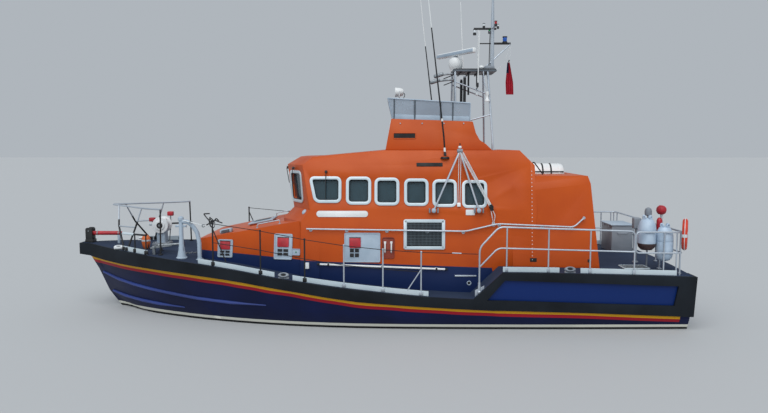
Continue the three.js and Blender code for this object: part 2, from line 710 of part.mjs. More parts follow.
function radarScanner() {
  const { length, height, depth } = RADAR;
  const outline = [[-length / 2, 0], [length / 2, 0], [length / 2, height], [-length / 2, height]];
  const array = sideOutline(outline, -depth / 2, depth / 2);
  return array.add(bar([[0, 0, RADAR.pedestalTopZ + GAP - RADAR.z], [0, 0, 20]], 50, 12));
}

// Whip aerial on a lay-down mount at the roof's edge, raked a little forward
const AERIAL = { x: -1800, y: 1440, z: 3800, ear: 42, earRadius: 16, pin: 22 };
// Columns: x ahead of the mount, height above it and radius
const WHIP = [[0, -8, 19], [30, 400, 19], [190, 1720, 15], [390, 3390, 11], [480, 4250, 8]];

function aerialMount() {
  const { x, y, z, ear, earRadius } = AERIAL;
  const foot = bar([[x, y, z - 62], [x, y, z - 40]], 70, 10);
  const ears = [y - ear, y + ear].map((side) => bar([[x, side, z + 20], [x, side, z - 50]], earRadius));
  return join([foot, ...ears]);
}

function aerial() {
  const whip = bar(WHIP.map(([x, z]) => [x, 0, z]), WHIP.map(([, , radius]) => radius), 8);
  const pinEnd = AERIAL.ear - AERIAL.earRadius - GAP;
  return whip.add(bar([[0, -pinEnd, 0], [0, pinEnd, 0]], AERIAL.pin, 10));
}

// Recovery frame, an A folded up against the side of the wheelhouse
const EYE_HALF = 50;
const RECOVERY = { footZ: 2560, footX: [-1540, -2540], apexX: -2120, apexZ: 3880, out: 60, radius: 22 };

function sideY(z) {
  const k = Math.max(1, HOUSE_PLANS.findIndex((plan) => z <= plan.aft));
  const [low, high] = [HOUSE_PLANS[k - 1], HOUSE_PLANS[k]];
  return low.half + ((high.half - low.half) * (z - low.aft)) / (high.aft - low.aft);
}

function recoveryFrame() {
  const { footX, footZ, apexX, apexZ, out, radius } = RECOVERY;
  const footY = sideY(footZ) + out;
  const lean = sideY(footZ) - sideY(apexZ - 330);
  const apex = [apexX, -lean + 10, apexZ - footZ];
  const legs = footX.map((x) => bar([[x, 0, 0], apex], radius));
  const eyes = footX.map((x) => bar([[x - EYE_HALF + GAP, 0, 0], [x + EYE_HALF - GAP, 0, 0]], 30, 10));
  const head = bar([[apexX - 60, apex[1], apex[2]], [apexX + 60, apex[1], apex[2]]], 45, 10);
  return join([...legs, ...eyes, head]).translate([0, footY, footZ]);
}

function recoveryFeet() {
  const { footX, footZ, out } = RECOVERY;
  const footY = sideY(footZ) + out;
  const cheek = (x0, x1) => box([x0, x1], [sideY(footZ) - 30, footY + 40], [footZ - 45, footZ + 45]);
  const far = EYE_HALF + 20;
  return footX.map((x) => cheek(x - far, x - EYE_HALF).add(cheek(x + EYE_HALF, x + far)));
}

// Rails. Plates stand along the deck edge and carry the posts.
const EDGE_PLATE = { height: 110, thickness: 12, inset: 45 };
const RAIL = { post: 17, wire: 6, tube: 20 };

function edgeY(x) {
  return halfBreadth(LINES.sheer, x) - EDGE_PLATE.inset;
}

function edgePlate([x0, x1]) {
  const steps = Math.max(2, Math.ceil(Math.abs(x1 - x0) / 500));
  const half = EDGE_PLATE.thickness / 2;
  const rings = Array.from({ length: steps + 1 }, (_, k) => {
    const x = x0 + ((x1 - x0) * k) / steps;
    const [y, z] = [edgeY(x), alongLine(DECK_EDGE, x)];
    const top = z + EDGE_PLATE.height;
    return [[x, y - half, z - 30], [x, y + half, z - 30], [x, y + half, top], [x, y - half, top]];
  });
  return loft(rings);
}

// An upright post from the plate beside the deck edge to a height
function edgePost(x, topZ, radius = RAIL.post) {
  return bar([[x, edgeY(x), alongLine(DECK_EDGE, x) - 30], [x, edgeY(x), topZ]], radius);
}

const SIDE_PLATES = [[3720, 1940], [1540, -1400]];
const SIDE_POSTS = [[3350, 2290], [2250, 2160], [1270, 1990], [420, 1870], [-420, 1785], [-1240, 1730]];
const AFT_PLATES = [[-2990, -4200], [-4650, -6720]];
const AFT_POSTS = [[-3070, 2280], [-3960, 2247], [-4850, 2212], [-5790, 2060]];

function sideRail() {
  const posts = SIDE_POSTS.map(([x, z]) => edgePost(x, z + 10));
  const wireAlong = (below) => SIDE_POSTS.map(([x, z]) => [x, edgeY(x), z - below]);
  const upper = bar([...wireAlong(10), [-2460, edgeY(-2460), 1685]], RAIL.wire);
  const lower = bar(wireAlong(440), RAIL.wire);
  const braces = [
    bar([[3300, edgeY(3300), 2150], [3050, edgeY(3050) - 20, 1430]], 12),
    bar([[-1240, edgeY(-1240), 1350], [-950, edgeY(-950), 880]], 12),
  ];
  return join([...SIDE_PLATES.map(edgePlate), ...posts, upper, lower, ...braces]);
}

function aftRail() {
  const y = edgeY(-4000);
  const inLine = (points) => points.map(([x, z]) => [x, y, z]);
  const rise = [[-2490, 900], [-2490, 1820], [-2880, 2250], [-3000, 2285]];
  const top = inLine([...rise, [-5690, 2180], [-5790, 2140], [-5790, 2000]]);
  const middle = inLine([[-2490, 1400], [-2880, 1815], [-5790, 1740]]);
  const foot = sideOutline([[-2400, 680], [-2400, 900], [-2600, 1010], [-2600, 680]], y - 8, y + 8);
  const posts = AFT_POSTS.map(([x, z]) =>
    bar([[x, y, alongLine(DECK_EDGE, x) - 30], [x, y, z]], RAIL.post));
  const heel = bar([[-2490, y, 700], [-2490, y, 920]], RAIL.tube + 8);
  const rails = [bar(top, RAIL.tube), bar(middle, RAIL.post)];
  return join([...AFT_PLATES.map(edgePlate), ...posts, ...rails, foot, heel]);
}

const STERN_RAIL = { y: 2235, frontX: -5850, aftX: -6850, top: 2150, low: 1700, corner: 80 };

function sternRail() {
  const { y, frontX, aftX, top, low, corner } = STERN_RAIL;
  const inLine = (points) => points.map(([x, z]) => [x, y, z]);
  const [upper, lower] = [top - corner, low + corner];
  const topRun = [[frontX, lower], [frontX, upper], [frontX - corner, top], [aftX, top]];
  const lowRun = [[frontX, upper], [frontX, lower], [frontX - corner, low], [aftX, low]];
  const run = bar(inLine(topRun), RAIL.tube);
  const under = bar(inLine(lowRun), RAIL.post);
  const sidePosts = [-6450, -6800].map((x) => bar([[x, y, 1100], [x, y, top]], RAIL.post));
  const side = join([run, under, ...sidePosts]);
  const across = [
    bar([[aftX, -y, top], [aftX, y, top]], RAIL.tube),
    bar([[aftX, -y, low], [aftX, y, low]], RAIL.post),
  ];
  const posts = [-750, 750].map((at) => bar([[aftX, at, 1100], [aftX, at, top]], RAIL.post));
  return join([side, mirrored(side), ...across, ...posts]);
}

const BOW_PLATE = [5750, 5050];

// Each side of the bow rail has a top rail from the tip, two bent legs joined by a bar,
// a low rail and an aft post
function bowRail() {
  const top = [[6360, 0, 2540], [5170, 900, 2515], [4740, 1150, 2520]];
  const foreLeg = [[6100, 197, 2535], [5990, 520, 2060], [5730, edgeY(5730), 1470]];
  const aftLeg = [[5330, 779, 2518], [5480, 800, 2060], [5640, edgeY(5640), 1460]];
  const lowRail = [5760, 5400, 5060].map((x) => [x, edgeY(x), 1930]);
  const side = join([
    bar(top, RAIL.tube), edgePlate(BOW_PLATE), bar(foreLeg, RAIL.post), bar(aftLeg, RAIL.post),
    bar([foreLeg[1], aftLeg[1]], RAIL.post), bar(lowRail, RAIL.tube),
    bar([[5400, edgeY(5400), 1440], lowRail[1]], RAIL.post),
    bar([[5080, edgeY(5080), 1420], lowRail[2]], RAIL.post),
    bar([[4760, 1210, 1400], [4760, 1142, 2519]], RAIL.post),
  ]);
  return side.add(mirrored(side));
}

// Long grab rail on brackets along the side of the superstructure
function grabRail() {
  const out = 70;
  const run = [[1290, 2152], [-2250, 2105], [-2950, 2270], [-4640, 2200], [-4860, 2400]];
  const line = run.map(([x, z]) => [x, wallY(x, z) + out, z]);
  const stops = [1200, 400, -500, -1400, -2200, -3000, -3950, -4600];
  const brackets = stops.map((x) => {
    const z = alongLine(run, x);
    return bar([[x, wallY(x, z) - 25, z - 30], [x, wallY(x, z) + out, z]], 14);
  });
  return join([bar(line, 16), ...brackets]).subtract(houseSolid(-GAP)).subtract(casingSolid(-GAP));
}

function wallY(x, z) {
  if (x > SEAM_X) {
    return sideY(z);
  }
  const k = CASING_PLANS.findIndex((plan) => z <= plan.z);
  const [low, high] = [CASING_PLANS[k - 1], CASING_PLANS[k]];
  return low.half + ((high.half - low.half) * (z - low.z)) / (high.z - low.z);
}

// Deck gear
// Two cheeks with a roller between them, and the padded tube that leads aft from it
function bowRoller() {
  const cheek = (y0, y1) => box([6840, 7010], [y0, y1], [1600, 1960]);
  const roller = bar([[6925, -90, 1880], [6925, 90, 1880]], 45, 12);
  const lead = bar([[6925, 0, 1820], [6120, 0, 1820]], 50, 12);
  const chock = box([6180, 6240], [-30, 30], [1500, 1800]);
  const base = box([6820, 7020], [-110, 110], [1500, 1670]);
  return join([base, cheek(-100, -70), cheek(70, 100), roller, lead, chock]);
}

const WINDLASS = { x: 5120, z: 2030, radius: 200, halfWidth: 170 };

function windlass() {
  const { x, z, radius, halfWidth } = WINDLASS;
  const base = box([x - 200, x + 200], [-200, 200], [1400, 1700]);
  const neck = box([x - 110, x + 110], [-120, 120], [1650, z]);
  const ends = [-halfWidth - 20, -halfWidth, halfWidth, halfWidth + 20].map((y) => [x, y, z]);
  return join([base, neck, bar(ends, [radius * 0.6, radius, radius, radius * 0.6], 14)]);
}

const ANCHOR = { crownX: 4920, shankX: 4300, flukeX: 4530, z: 1640 };

function anchor() {
  const { crownX, shankX, flukeX, z } = ANCHOR;
  const shank = bar([[crownX - 20, 950, z + 10], [shankX, 900, z + 50]], 28);
  const crown = bar([[crownX, 640, z], [crownX, 1230, z]], 34);
  const section = (x, y0, y1, low, high) => [[x, y0, low], [x, y1, low], [x, y1, high], [x, y0, high]];
  const fluke = (y) => {
    const root = section(crownX + 80, y - 90, y + 90, z - 40, z);
    return loft([root, section(flukeX, y - 15, y + 15, z + 20, z + 40)]);
  };
  const feet = [[crownX, 700], [crownX, 1180], [shankX + 90, 905]];
  const chocks = feet.map(([x, y]) => box([x - 30, x + 30], [y - 25, y + 25], [1400, z + 30]));
  return join([shank, crown, fluke(760), fluke(1110), ...chocks]);
}

// Post on a conical foot, with an arched pipe from its head down to the deck beside the superstructure
const POST = { x: 4215, y: 1370, footRadius: 90, radius: 50, topZ: 2370, crossZ: 2160 };

function mooringPost() {
  const { x, y, footRadius, radius, topZ, crossZ } = POST;
  const stops = [1300, 1470, 1880, topZ].map((z) => [x, y, z]);
  const post = bar(stops, [footRadius + 30, footRadius, radius, radius], 12);
  const cross = bar([[x - 110, y, crossZ], [x + 110, y, crossZ]], 22);
  const arch = [
    [x, y, 2290], [3990, y, 2210], [3850, y + 10, 2030], [3800, y + 20, 1800], [3790, y + 40, 1300],
  ];
  return join([post, cross, bar(arch, 52, 10)]);
}

// Long pole in clips along the side of the superstructure, above the port side deck
const SIDE_POLE = { frontX: 1040, aftX: -1840, frontZ: 1370, aftZ: 1262, out: 55, radius: 22 };

function sidePole() {
  const { frontX, aftX, frontZ, aftZ, out, radius } = SIDE_POLE;
  const at = (x, extra = 0) => {
    const z = aftZ + ((frontZ - aftZ) * (x - aftX)) / (frontX - aftX);
    return [x, sideY(z) + extra, z];
  };
  const pole = bar([at(frontX, out), at(aftX, out)], radius, 8);
  const clips = [800, -400, -1600].map((x) => bar([at(x, GAP), at(x, out)], 14));
  return join([pole, ...clips]).subtract(houseSolid(-GAP));
}

// Ensign hanging limp under the gaff on a thin halyard, with three soft folds
const ENSIGN = { x: -3475, topZ: 6434, drop: 1210, width: 190, thickness: 14, fold: 45 };

function ensign() {
  const { x, topZ, drop, width, thickness, fold } = ENSIGN;
  // Columns: share of the drop, share of the width, share of the fold
  const levels = [
    [0, 0.08, 0], [0.3, 0.1, 0], [0.36, 0.4, 0.5], [0.6, 0.8, 1], [0.92, 1, 0.8], [1, 0.7, 0.6],
  ];
  const rings = levels.map(([down, wide, folded]) => {
    const z = topZ - drop * down;
    const folds = [0.6, 0.27, -0.07, -0.4];
    const sway = (fold * folded) / 2;
    const across = folds.map((share, k) => [x + width * wide * share, k % 2 ? sway : -sway]);
    const port = across.map(([px, py]) => [px, py + thickness / 2, z]);
    const starboard = across.map(([px, py]) => [px, py - thickness / 2, z]).reverse();
    return [...port, ...starboard];
  });
  return loft(rings);
}

function buoy() {
  const profile = [[0, 1420], [80, 1570], [100, 1670], [100, 1770], [60, 1840], [0, 1850]];
  return turned(profile).translate([5330, 560, 0]);
}

function locker() {
  return box([-6740, -6200], [-1350, -500], [1100, 1975]);
}

function hangingFender([x, y, z, radius, height]) {
  // Columns: share of the radius, share of the height
  const profile = [[0, -0.5], [0.5, -0.46], [1, -0.28], [1, 0.24], [0.6, 0.42], [0.22, 0.5], [0, 0.5]];
  return turned(profile.map(([out, up]) => [out * radius, up * height])).translate([x, y, z]);
}

// Lifebuoy round the corner of the stern rail, against its last side post
const LIFEBUOY = { x: -6941.2, y: 2095.4, z: 2090, radius: 290, tube: 55, turn: 24 };

function lifebuoy() {
  const { x, y, z, radius, tube, turn } = LIFEBUOY;
  const profile = Array.from({ length: 9 }, (_, k) => {
    const around = (2 * Math.PI * k) / 8;
    return new THREE.Vector2(radius + tube * Math.cos(around), tube * Math.sin(around));
  });
  const ring = new THREE.LatheGeometry(profile, 28).rotateZ(Math.PI / 2 - (turn * Math.PI) / 180);
  ring.translate(x, y, z);
  const shape = solid(ring);
  return shape.volume() < 0 ? solid(flipped(ring)) : shape;
}

// Searchlight on a post that stands on the bridge console
const SEARCHLIGHT = { x: -780, y: 380, z: 5260, radius: 115, postRadius: 26, footZ: 4460 };

function searchlight() {
  const { x, y, z, radius, postRadius, footZ } = SEARCHLIGHT;
  const drum = [[x + 100, y, z], [x - 70, y, z], [x - 100, y, z]];
  const lamp = bar(drum, [radius, radius, radius * 0.65], 14);
  const post = bar([[x, y, footZ + 20], [x, y, z - 60]], postRadius);
  const foot = box([-850, -560], [y - 40, y + 40], [footZ, footZ + 40]);
  const ahead = box([-600, 0], [0, 1000], [4000, 5000]);
  const stood = lamp.add(post).add(foot).subtract(ahead);
  return stood.subtract(bridge()).subtract(bridge().translate([-GAP, 0, 0]));
}

const HATCH = { x: 2600, size: 620, lift: 30, thickness: 40 };

function trunkTopZ(x) {
  const { frontX, aftX, frontTopZ, aftTopZ } = TRUNK;
  return frontTopZ + ((aftTopZ - frontTopZ) * (frontX - x)) / (frontX - aftX);
}

function hatchLid() {
  const { x, size, lift, thickness } = HATCH;
  const [front, aft] = [x + size / 2, x - size / 2];
  const outline = [[front, trunkTopZ(front) + lift], [aft, trunkTopZ(aft) + lift],
    [aft, trunkTopZ(aft) + lift + thickness], [front, trunkTopZ(front) + lift + thickness]];
  return sideOutline(outline, -size / 2, size / 2);
}

function hatchCoaming(grown, drop) {
  const { x, size, lift } = HATCH;
  const half = size / 2 - 40 - grown;
  const [front, aft] = [x + half, x - half];
  const rise = lift - GAP + grown;
  const outline = [[front, trunkTopZ(front) - drop], [aft, trunkTopZ(aft) - drop],
    [aft, trunkTopZ(aft) + rise], [front, trunkTopZ(front) + rise]];
  return sideOutline(outline, -half, half);
}

// Everything aboard is built from these parts
const fullHull = hullSolid();
const hullSkin = hullSolid(GAP);
const aboveHull = deckLayer({ bottom: DECK_THICKNESS, lift: 900 });
const belowDeck = deckLayer({ bottom: 2500, lift: GAP });
const tunnels = (shrunk) => tunnel(shrunk).add(mirrored(tunnel(shrunk)));
const bottomSkin = hullSkin.subtract(tunnels(GAP));
const onDeck = (shape) => shape.subtract(belowDeck);
const bores = stockBore().add(mirrored(stockBore()));

const house = superstructure(belowDeck)
  .add(hatchCoaming(0, 30)).subtract(hatchCoaming(50, 200))
  .add(aerialMount().subtract(houseSolid(10))).add(mirrored(aerialMount().subtract(houseSolid(10))));
const feet = join(recoveryFeet()).subtract(houseSolid(30));
const ahead = box([SEAM_X + GAP, 9000], [-3000, 3000], [0, 5000]);

const openHull = fullHull.subtract(aboveHull).subtract(engineWell()).subtract(tunnels(0)).subtract(bores);
add("hull", openHull, "navy");
add("deck", deckLayer({ bottom: DECK_THICKNESS - GAP }).intersect(fullHull), "slate");
addPair("fender", fender(hullSkin), "rubber");
add("wheelhouse", house.intersect(ahead).add(feet).add(mirrored(feet)), "orange");
add("aft_casing", house.intersect(box([-9000, SEAM_X], [-3000, 3000], [0, 5000])), "orange");
add("aft_door", door(), "orange");
add("foredeck_hatch", hatchLid(), "white");
add("wheelhouse_sole", sole(), "grey");
add("helm_console", helmConsole(), "black");
const wheel = add("helm_wheel", helmWheel(), "black");
wheel.position.set(WHEEL.x, WHEEL.y, WHEEL.z);
SEATS.forEach(([place, x, y]) => add(`${place}_seat`, seat(x, y), "black"));
add("port_glazing", glazing([-2800, 1255], [500, 2500]), "glass");
add("starboard_glazing", glazing([-2800, 1255], [-2500, -500]), "glass");
add("windscreen", glazing([1260, 2500], [-2500, 2500]), "glass");
add("port_engine", engine(1), "grey");
add("starboard_engine", engine(-1), "grey");

add("bridge_coaming", bridge(), "orange");
add("bridge_console", bridgeConsole(), "grey");
add("bridge_windshield", windshield(), "white");
add("searchlight", searchlight(), "white");
add("radar_mast", mast(), "alloy");
const scanner = add("radar_scanner", radarScanner(), "white");
scanner.position.set(RADAR.x, 0, RADAR.z);
scanner.rotation.z = THREE.MathUtils.degToRad(-RADAR.restTurn);
for (const [side, sign] of [["port", 1], ["starboard", -1]]) {
  const whip = add(`${side}_aerial`, aerial(), "black");
  whip.position.set(AERIAL.x, sign * AERIAL.y, AERIAL.z);
}
addPair("recovery_frame", recoveryFrame(), "alloy");
addPair("grab_rail", grabRail(), "alloy");
add("liferaft_canister", raftCanister(), "white");

add("port_side_rail", onDeck(sideRail()), "alloy");
add("starboard_side_rail", onDeck(mirrored(sideRail())), "alloy");
add("port_aft_rail", onDeck(aftRail()), "alloy");
add("starboard_aft_rail", onDeck(mirrored(aftRail())), "alloy");
add("stern_rail", onDeck(sternRail()), "alloy");
add("bow_rail", onDeck(bowRail()), "alloy");

add("bow_roller", onDeck(bowRoller()), "black");
add("windlass", onDeck(windlass()), "white");
add("anchor", onDeck(anchor()), "steel");
add("mooring_post", onDeck(mooringPost()), "white");
add("anchor_buoy", onDeck(buoy()), "buoy");
add("stern_locker", onDeck(locker()), "grey");
add("side_pole", sidePole(), "white");
add("ensign", ensign(), "red");
// Columns: place, x, z of the middle, radius, height, and the radius of the rail that it leans on
const TALL_FENDERS = [
  ["forward", -6150, 2110, 195, 730, RAIL.tube],
  ["after", -6530, 1900, 185, 800, RAIL.post],
];
TALL_FENDERS.forEach(([place, x, z, radius, height, rail]) => {
  const y = STERN_RAIL.y - rail - GAP - radius;
  add(`${place}_hanging_fender`, hangingFender([x, y, z, radius, height]), "white");
});
add("lifebuoy", lifebuoy(), "buoy");

addPair("shaft_line", shaftLine().subtract(bottomSkin), "steel");
for (const [side, sign] of [["port", 1], ["starboard", -1]]) {
  const screw = add(`${side}_propeller`, propeller(sign), "bronze");
  screw.position.set(SHAFT.propellerX, sign * SHAFT.y, SHAFT.z);
  screw.rotation.y = -SHAFT_TILT;
}
addPair("rudder", rudder(), "antifouling");
add("skeg", finUnder(SKEG.outline, 0, SKEG.thickness, bottomSkin), "antifouling");
const bilgeKeel = finUnder(BILGE_KEEL.outline, BILGE_KEEL.y, BILGE_KEEL.thickness, bottomSkin);
addPair("bilge_keel", bilgeKeel, "antifouling");

export default boat;
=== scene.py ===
# %% [markdown]
# All-weather lifeboat, 14.26 m long, afloat and seen from its port side.
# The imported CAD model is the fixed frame: +X is the bow, +Y is port, +Z is up, and z = 0 is the water.
# Each step below finishes one group of pieces, and everything is in metres.

# %% Load the frame
import json
from math import atan2, cos, pi, radians, sin

import bmesh
import bpy
from mathutils import Matrix, Vector
from mathutils.bvhtree import BVHTree

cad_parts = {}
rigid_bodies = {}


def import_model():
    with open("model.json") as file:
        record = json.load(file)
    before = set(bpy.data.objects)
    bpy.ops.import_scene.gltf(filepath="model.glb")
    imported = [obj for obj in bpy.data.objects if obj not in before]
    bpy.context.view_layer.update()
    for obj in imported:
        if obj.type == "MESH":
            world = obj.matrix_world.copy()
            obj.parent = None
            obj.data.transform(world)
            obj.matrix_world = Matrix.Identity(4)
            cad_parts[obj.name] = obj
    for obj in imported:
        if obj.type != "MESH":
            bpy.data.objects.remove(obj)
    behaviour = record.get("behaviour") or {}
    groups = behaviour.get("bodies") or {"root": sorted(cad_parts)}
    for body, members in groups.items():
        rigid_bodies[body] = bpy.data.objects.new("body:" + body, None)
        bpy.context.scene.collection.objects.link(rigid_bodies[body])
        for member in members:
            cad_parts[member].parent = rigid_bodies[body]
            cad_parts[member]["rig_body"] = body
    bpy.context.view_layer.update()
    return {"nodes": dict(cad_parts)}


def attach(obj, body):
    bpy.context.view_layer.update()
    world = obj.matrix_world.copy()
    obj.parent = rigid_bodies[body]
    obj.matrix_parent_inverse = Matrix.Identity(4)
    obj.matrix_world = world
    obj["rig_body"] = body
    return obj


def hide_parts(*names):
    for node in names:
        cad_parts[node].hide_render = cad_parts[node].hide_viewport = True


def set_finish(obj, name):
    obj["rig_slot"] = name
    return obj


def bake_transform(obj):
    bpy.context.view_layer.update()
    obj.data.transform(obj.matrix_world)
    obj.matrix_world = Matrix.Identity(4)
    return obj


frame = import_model()
NODES = frame["nodes"]
print("CAD nodes loaded:", len(NODES))

# %% [markdown]
# The camera stands off the port side, a little aft of amidships and 4 m above the water, where the
# photographer stood. It looks square across the boat and slightly down. A fit to the waterline, the bow and
# the two stern rails gave these numbers, so a piece that is placed by a real size falls where the photograph
# shows it.

# %% Camera
CAMERA_AT = (-0.6455, 16.7598, 4.0154)
CAMERA_DOWN = 5.192
CAMERA_YAW = 0.014
LENS = 31.875

bpy.ops.object.camera_add(location=CAMERA_AT, rotation=(radians(90 - CAMERA_DOWN), 0, pi + CAMERA_YAW))
camera = bpy.context.object
camera.name = "camera"
camera.data.lens = LENS
camera.data.sensor_width = 36
bpy.context.scene.camera = camera
print("camera stands", round(CAMERA_AT[1], 2), "m off the centreline")

# %% [markdown]
# Materials are built from nodes. Every colour is written as the sRGB hex value that the eye knows, and one
# function turns it to the linear values that the shader wants. One more function adds a node with its
# settings.

# %% Colour and node helpers
def linear(code):
    """An sRGB hex colour as linear red, green, blue and alpha."""
    channels = [int(code[k:k + 2], 16) / 255 for k in (1, 3, 5)]
    return [c / 12.92 if c <= 0.04045 else ((c + 0.055) / 1.055) ** 2.4 for c in channels] + [1.0]


def add_node(tree, kind, inputs=(), **settings):
    """One node; each input is a value or the socket that feeds it."""
    made = tree.nodes.new(kind)
    for key, value in settings.items():
        setattr(made, key, value)
    for socket, value in dict(inputs).items():
        if isinstance(value, bpy.types.NodeSocket):
            tree.links.new(value, made.inputs[socket])
        else:
            made.inputs[socket].default_value = value
    return made


def math(tree, operation, a, b=0.0, c=0.0):
    return add_node(tree, "ShaderNodeMath", {0: a, 1: b, 2: c}, operation=operation).outputs[0]


def mix(tree, share, under, over):
    inputs = {0: share, 6: under, 7: over}
    return add_node(tree, "ShaderNodeMix", inputs, data_type="RGBA").outputs[2]


def noise(tree, place, size, detail=3.0):
    """Soft cloudy values around 0.5 whose lumps are about size metres across."""
    inputs = {"Vector": place, "Scale": 1 / size, "Detail": detail}
    return add_node(tree, "ShaderNodeTexNoise", inputs).outputs["Fac"]


def between(tree, value, low, high, out_low=0.0, out_high=1.0):
    inputs = {"Value": value, "From Min": low, "From Max": high, "To Min": out_low, "To Max": out_high}
    return add_node(tree, "ShaderNodeMapRange", inputs).outputs[0]


# %% [markdown]
# Almost every finish here is a coat of paint, gel, rubber or metal that has been outdoors, so one builder
# makes the common part: a colour that drifts between a clean and a soiled tone in patches a metre or so
# across, a roughness that drifts with it, and a fine bump for the grain of the surface. Each finish has its
# own row, and what is special to it, such as a painted stripe, is laid over it later.

# %% Weathered finishes
MATERIALS = {}
SLOTS = {}


def finish(name, slot, clean, soiled, rough=(0.35, 0.5), metallic=0.0, grain=0.004, bump=0.0002, patch=0.9,
           **extra):
    """A material with patches of tone, a drifting roughness and a fine grain."""
    material = bpy.data.materials.new(name)
    material.use_nodes = True
    tree = material.node_tree
    shader = tree.nodes["Principled BSDF"]
    place = add_node(tree, "ShaderNodeTexCoord").outputs["Object"]
    patches = between(tree, noise(tree, place, patch), 0.32, 0.68)
    fine = noise(tree, place, grain, 2.0)
    tone = mix(tree, patches, linear(soiled), linear(clean))
    tree.links.new(tone, shader.inputs["Base Color"])
    tree.links.new(between(tree, patches, 0, 1, rough[1], rough[0]), shader.inputs["Roughness"])
    relief = add_node(tree, "ShaderNodeBump", {"Height": fine, "Strength": 0.7, "Distance": bump})
    tree.links.new(relief.outputs[0], shader.inputs["Normal"])
    shader.inputs["Metallic"].default_value = metallic
    for socket, value in extra.items():
        shader.inputs[socket.replace("_", " ")].default_value = value
    MATERIALS[name] = material
    SLOTS[name] = slot
    return material, tree, shader, place, tone


# Two-pack gloss paint on the superstructure, sprayed and polished: even colour with a soft sheen
finish("orange_gloss", "orange_paint", "#C05216", "#B64A13", (0.36, 0.48), grain=0.012, bump=0.00025,
       Specular_IOR_Level=0.25)
# Gloss paint of the spray rails: the hull's blue, a shade lighter
finish("strake_blue", "hull_paint", "#31468F", "#293B7A", (0.32, 0.45), grain=0.012, bump=0.00025)
# Non-slip deck paint: matt, gritty, chalky with salt
finish("deck_grit", "deck_paint", "#2A3850", "#222F46", (0.85, 0.95), grain=0.012, bump=0.0025,
       Specular_IOR_Level=0.3)
# Extruded rubber of the fender: nearly black, matt, faded in patches
finish("extruded_rubber", "fender_rubber", "#181F27", "#10151B", (0.68, 0.82), grain=0.006, bump=0.0006,
       Specular_IOR_Level=0.25)
# Bare marine aluminium, welded and brushed: pale grey with a broad dull shine
finish("marine_aluminium", "rail_alloy", "#C3CCD5", "#A5AFBA", (0.38, 0.5), metallic=0.55, grain=0.006)
# Anodised aluminium of the window frames: paler and more even than the bare rails
finish("anodised_frame", "rail_alloy", "#D3E0E6", "#BACBD4", (0.35, 0.45), metallic=0.25, bump=0.0001)
# White gloss moulding of GRP, such as the liferaft canister
finish("white_moulding", "white_plastic", "#EDEFEF", "#D8DCDD", (0.28, 0.4), patch=0.5)
# White paint over metal or plywood, a little rougher than a moulding
finish("white_enamel", "white_paint", "#E6E9EA", "#CFD6DA", (0.38, 0.52), patch=0.4)
# Pale blue-grey paint of vents, chests and posts
finish("pale_paint", "grey_paint", "#ACBCCB", "#98AABA", (0.4, 0.55), patch=0.5)
# Mid grey paint of lockers and machinery
finish("grey_enamel", "grey_paint", "#8A929B", "#767E88", (0.45, 0.6), patch=0.5)
# Black powder coat of stanchions and brackets
finish("black_coat", "black_plastic", "#1B1D21", "#121417", (0.45, 0.6), patch=0.3, bump=0.0003)
# Glass-fibre whip with a black sleeve: satin and even
finish("whip_black", "black_plastic", "#15171B", "#0F1114", (0.35, 0.45), patch=0.3)
# Dark grey paint of the mast platform
finish("mast_grey", "grey_paint", "#5C666F", "#4B555E", (0.45, 0.6), patch=0.4)
# Blue-grey slats of the louvre
finish("dark_slats", "black_plastic", "#56636B", "#47535B", (0.5, 0.65), patch=0.3)
# Soft black rubber of gaskets and cable
finish("soft_rubber", "black_plastic", "#17191B", "#0E0F11", (0.65, 0.8), patch=0.2)
# Red enamel of the vent flaps and the small red gear
finish("red_enamel", "red_bunting", "#B8222F", "#9C1C29", (0.35, 0.5), patch=0.15)
# Brown-red oxide primer inside the hose recess: dull and thin
finish("oxide_paint", "orange_paint", "#8C3620", "#762B1A", (0.5, 0.65), patch=0.2)
# Dark rubber boot on the foot of the fender, rubbed brown
finish("rubbed_rubber", "black_plastic", "#4A3431", "#35282A", (0.6, 0.78), patch=0.1)
# Antifouling: a soft matt coat that rubs off, brown-red
finish("soft_antifouling", "antifouling", "#6A2F27", "#502420", (0.85, 0.95), grain=0.01, bump=0.0008)
# Galvanised steel: dull grey zinc with a fine crystal grain
finish("galvanised", "galvanised_steel", "#9AA1A6", "#7C8388", (0.45, 0.62), metallic=0.7, grain=0.02,
       bump=0.0003, patch=0.06)
# Cast propeller bronze, bright and dull in patches
finish("cast_bronze", "bronze", "#B08A4C", "#8C6A3A", (0.28, 0.42), metallic=0.95, patch=0.12)
# Zinc anodes: pale, pitted
finish("zinc", "galvanised_steel", "#A9ADB0", "#8E9295", (0.6, 0.75), metallic=0.5, patch=0.05, bump=0.0012)
# Cast iron engine block under grey paint
finish("cast_iron", "engine_iron", "#7F868C", "#666C72", (0.45, 0.6), metallic=0.2, patch=0.2)
# Laid polyester rope: off-white, soft
finish("rope_white", "white_vinyl", "#DFE3E4", "#C2C8CC", (0.75, 0.9), grain=0.008, bump=0.0015, patch=0.05)
# Soft white vinyl of the air-filled fenders, darkened and tinted blue-grey as painted shade
finish("fender_vinyl", "white_vinyl", "#BACBDC", "#A2B6CA", (0.42, 0.58), patch=0.25, Coat_Weight=0.1)
# Rotation-moulded polyethylene of buoy and lifebuoy: orange and red, waxy
finish("buoy_orange", "orange_plastic", "#E2763C", "#CE6530", (0.42, 0.55), patch=0.12)
finish("lifebuoy_red", "orange_plastic", "#DB3F22", "#C4361D", (0.42, 0.55), patch=0.12)
# Retro-reflective tape: silver-white and even
finish("silver_tape", "white_vinyl", "#D6DADC", "#C4C9CC", (0.3, 0.4), patch=0.1)
# Dark moulded plastic of console and instruments
finish("console_black", "black_plastic", "#22252A", "#191C20", (0.5, 0.65), patch=0.25, bump=0.0004)
# Woven seat cloth, charcoal
finish("seat_cloth", "seat_cover", "#2A2E36", "#1E2229", (0.85, 0.95), patch=0.12, grain=0.0025, bump=0.0008)
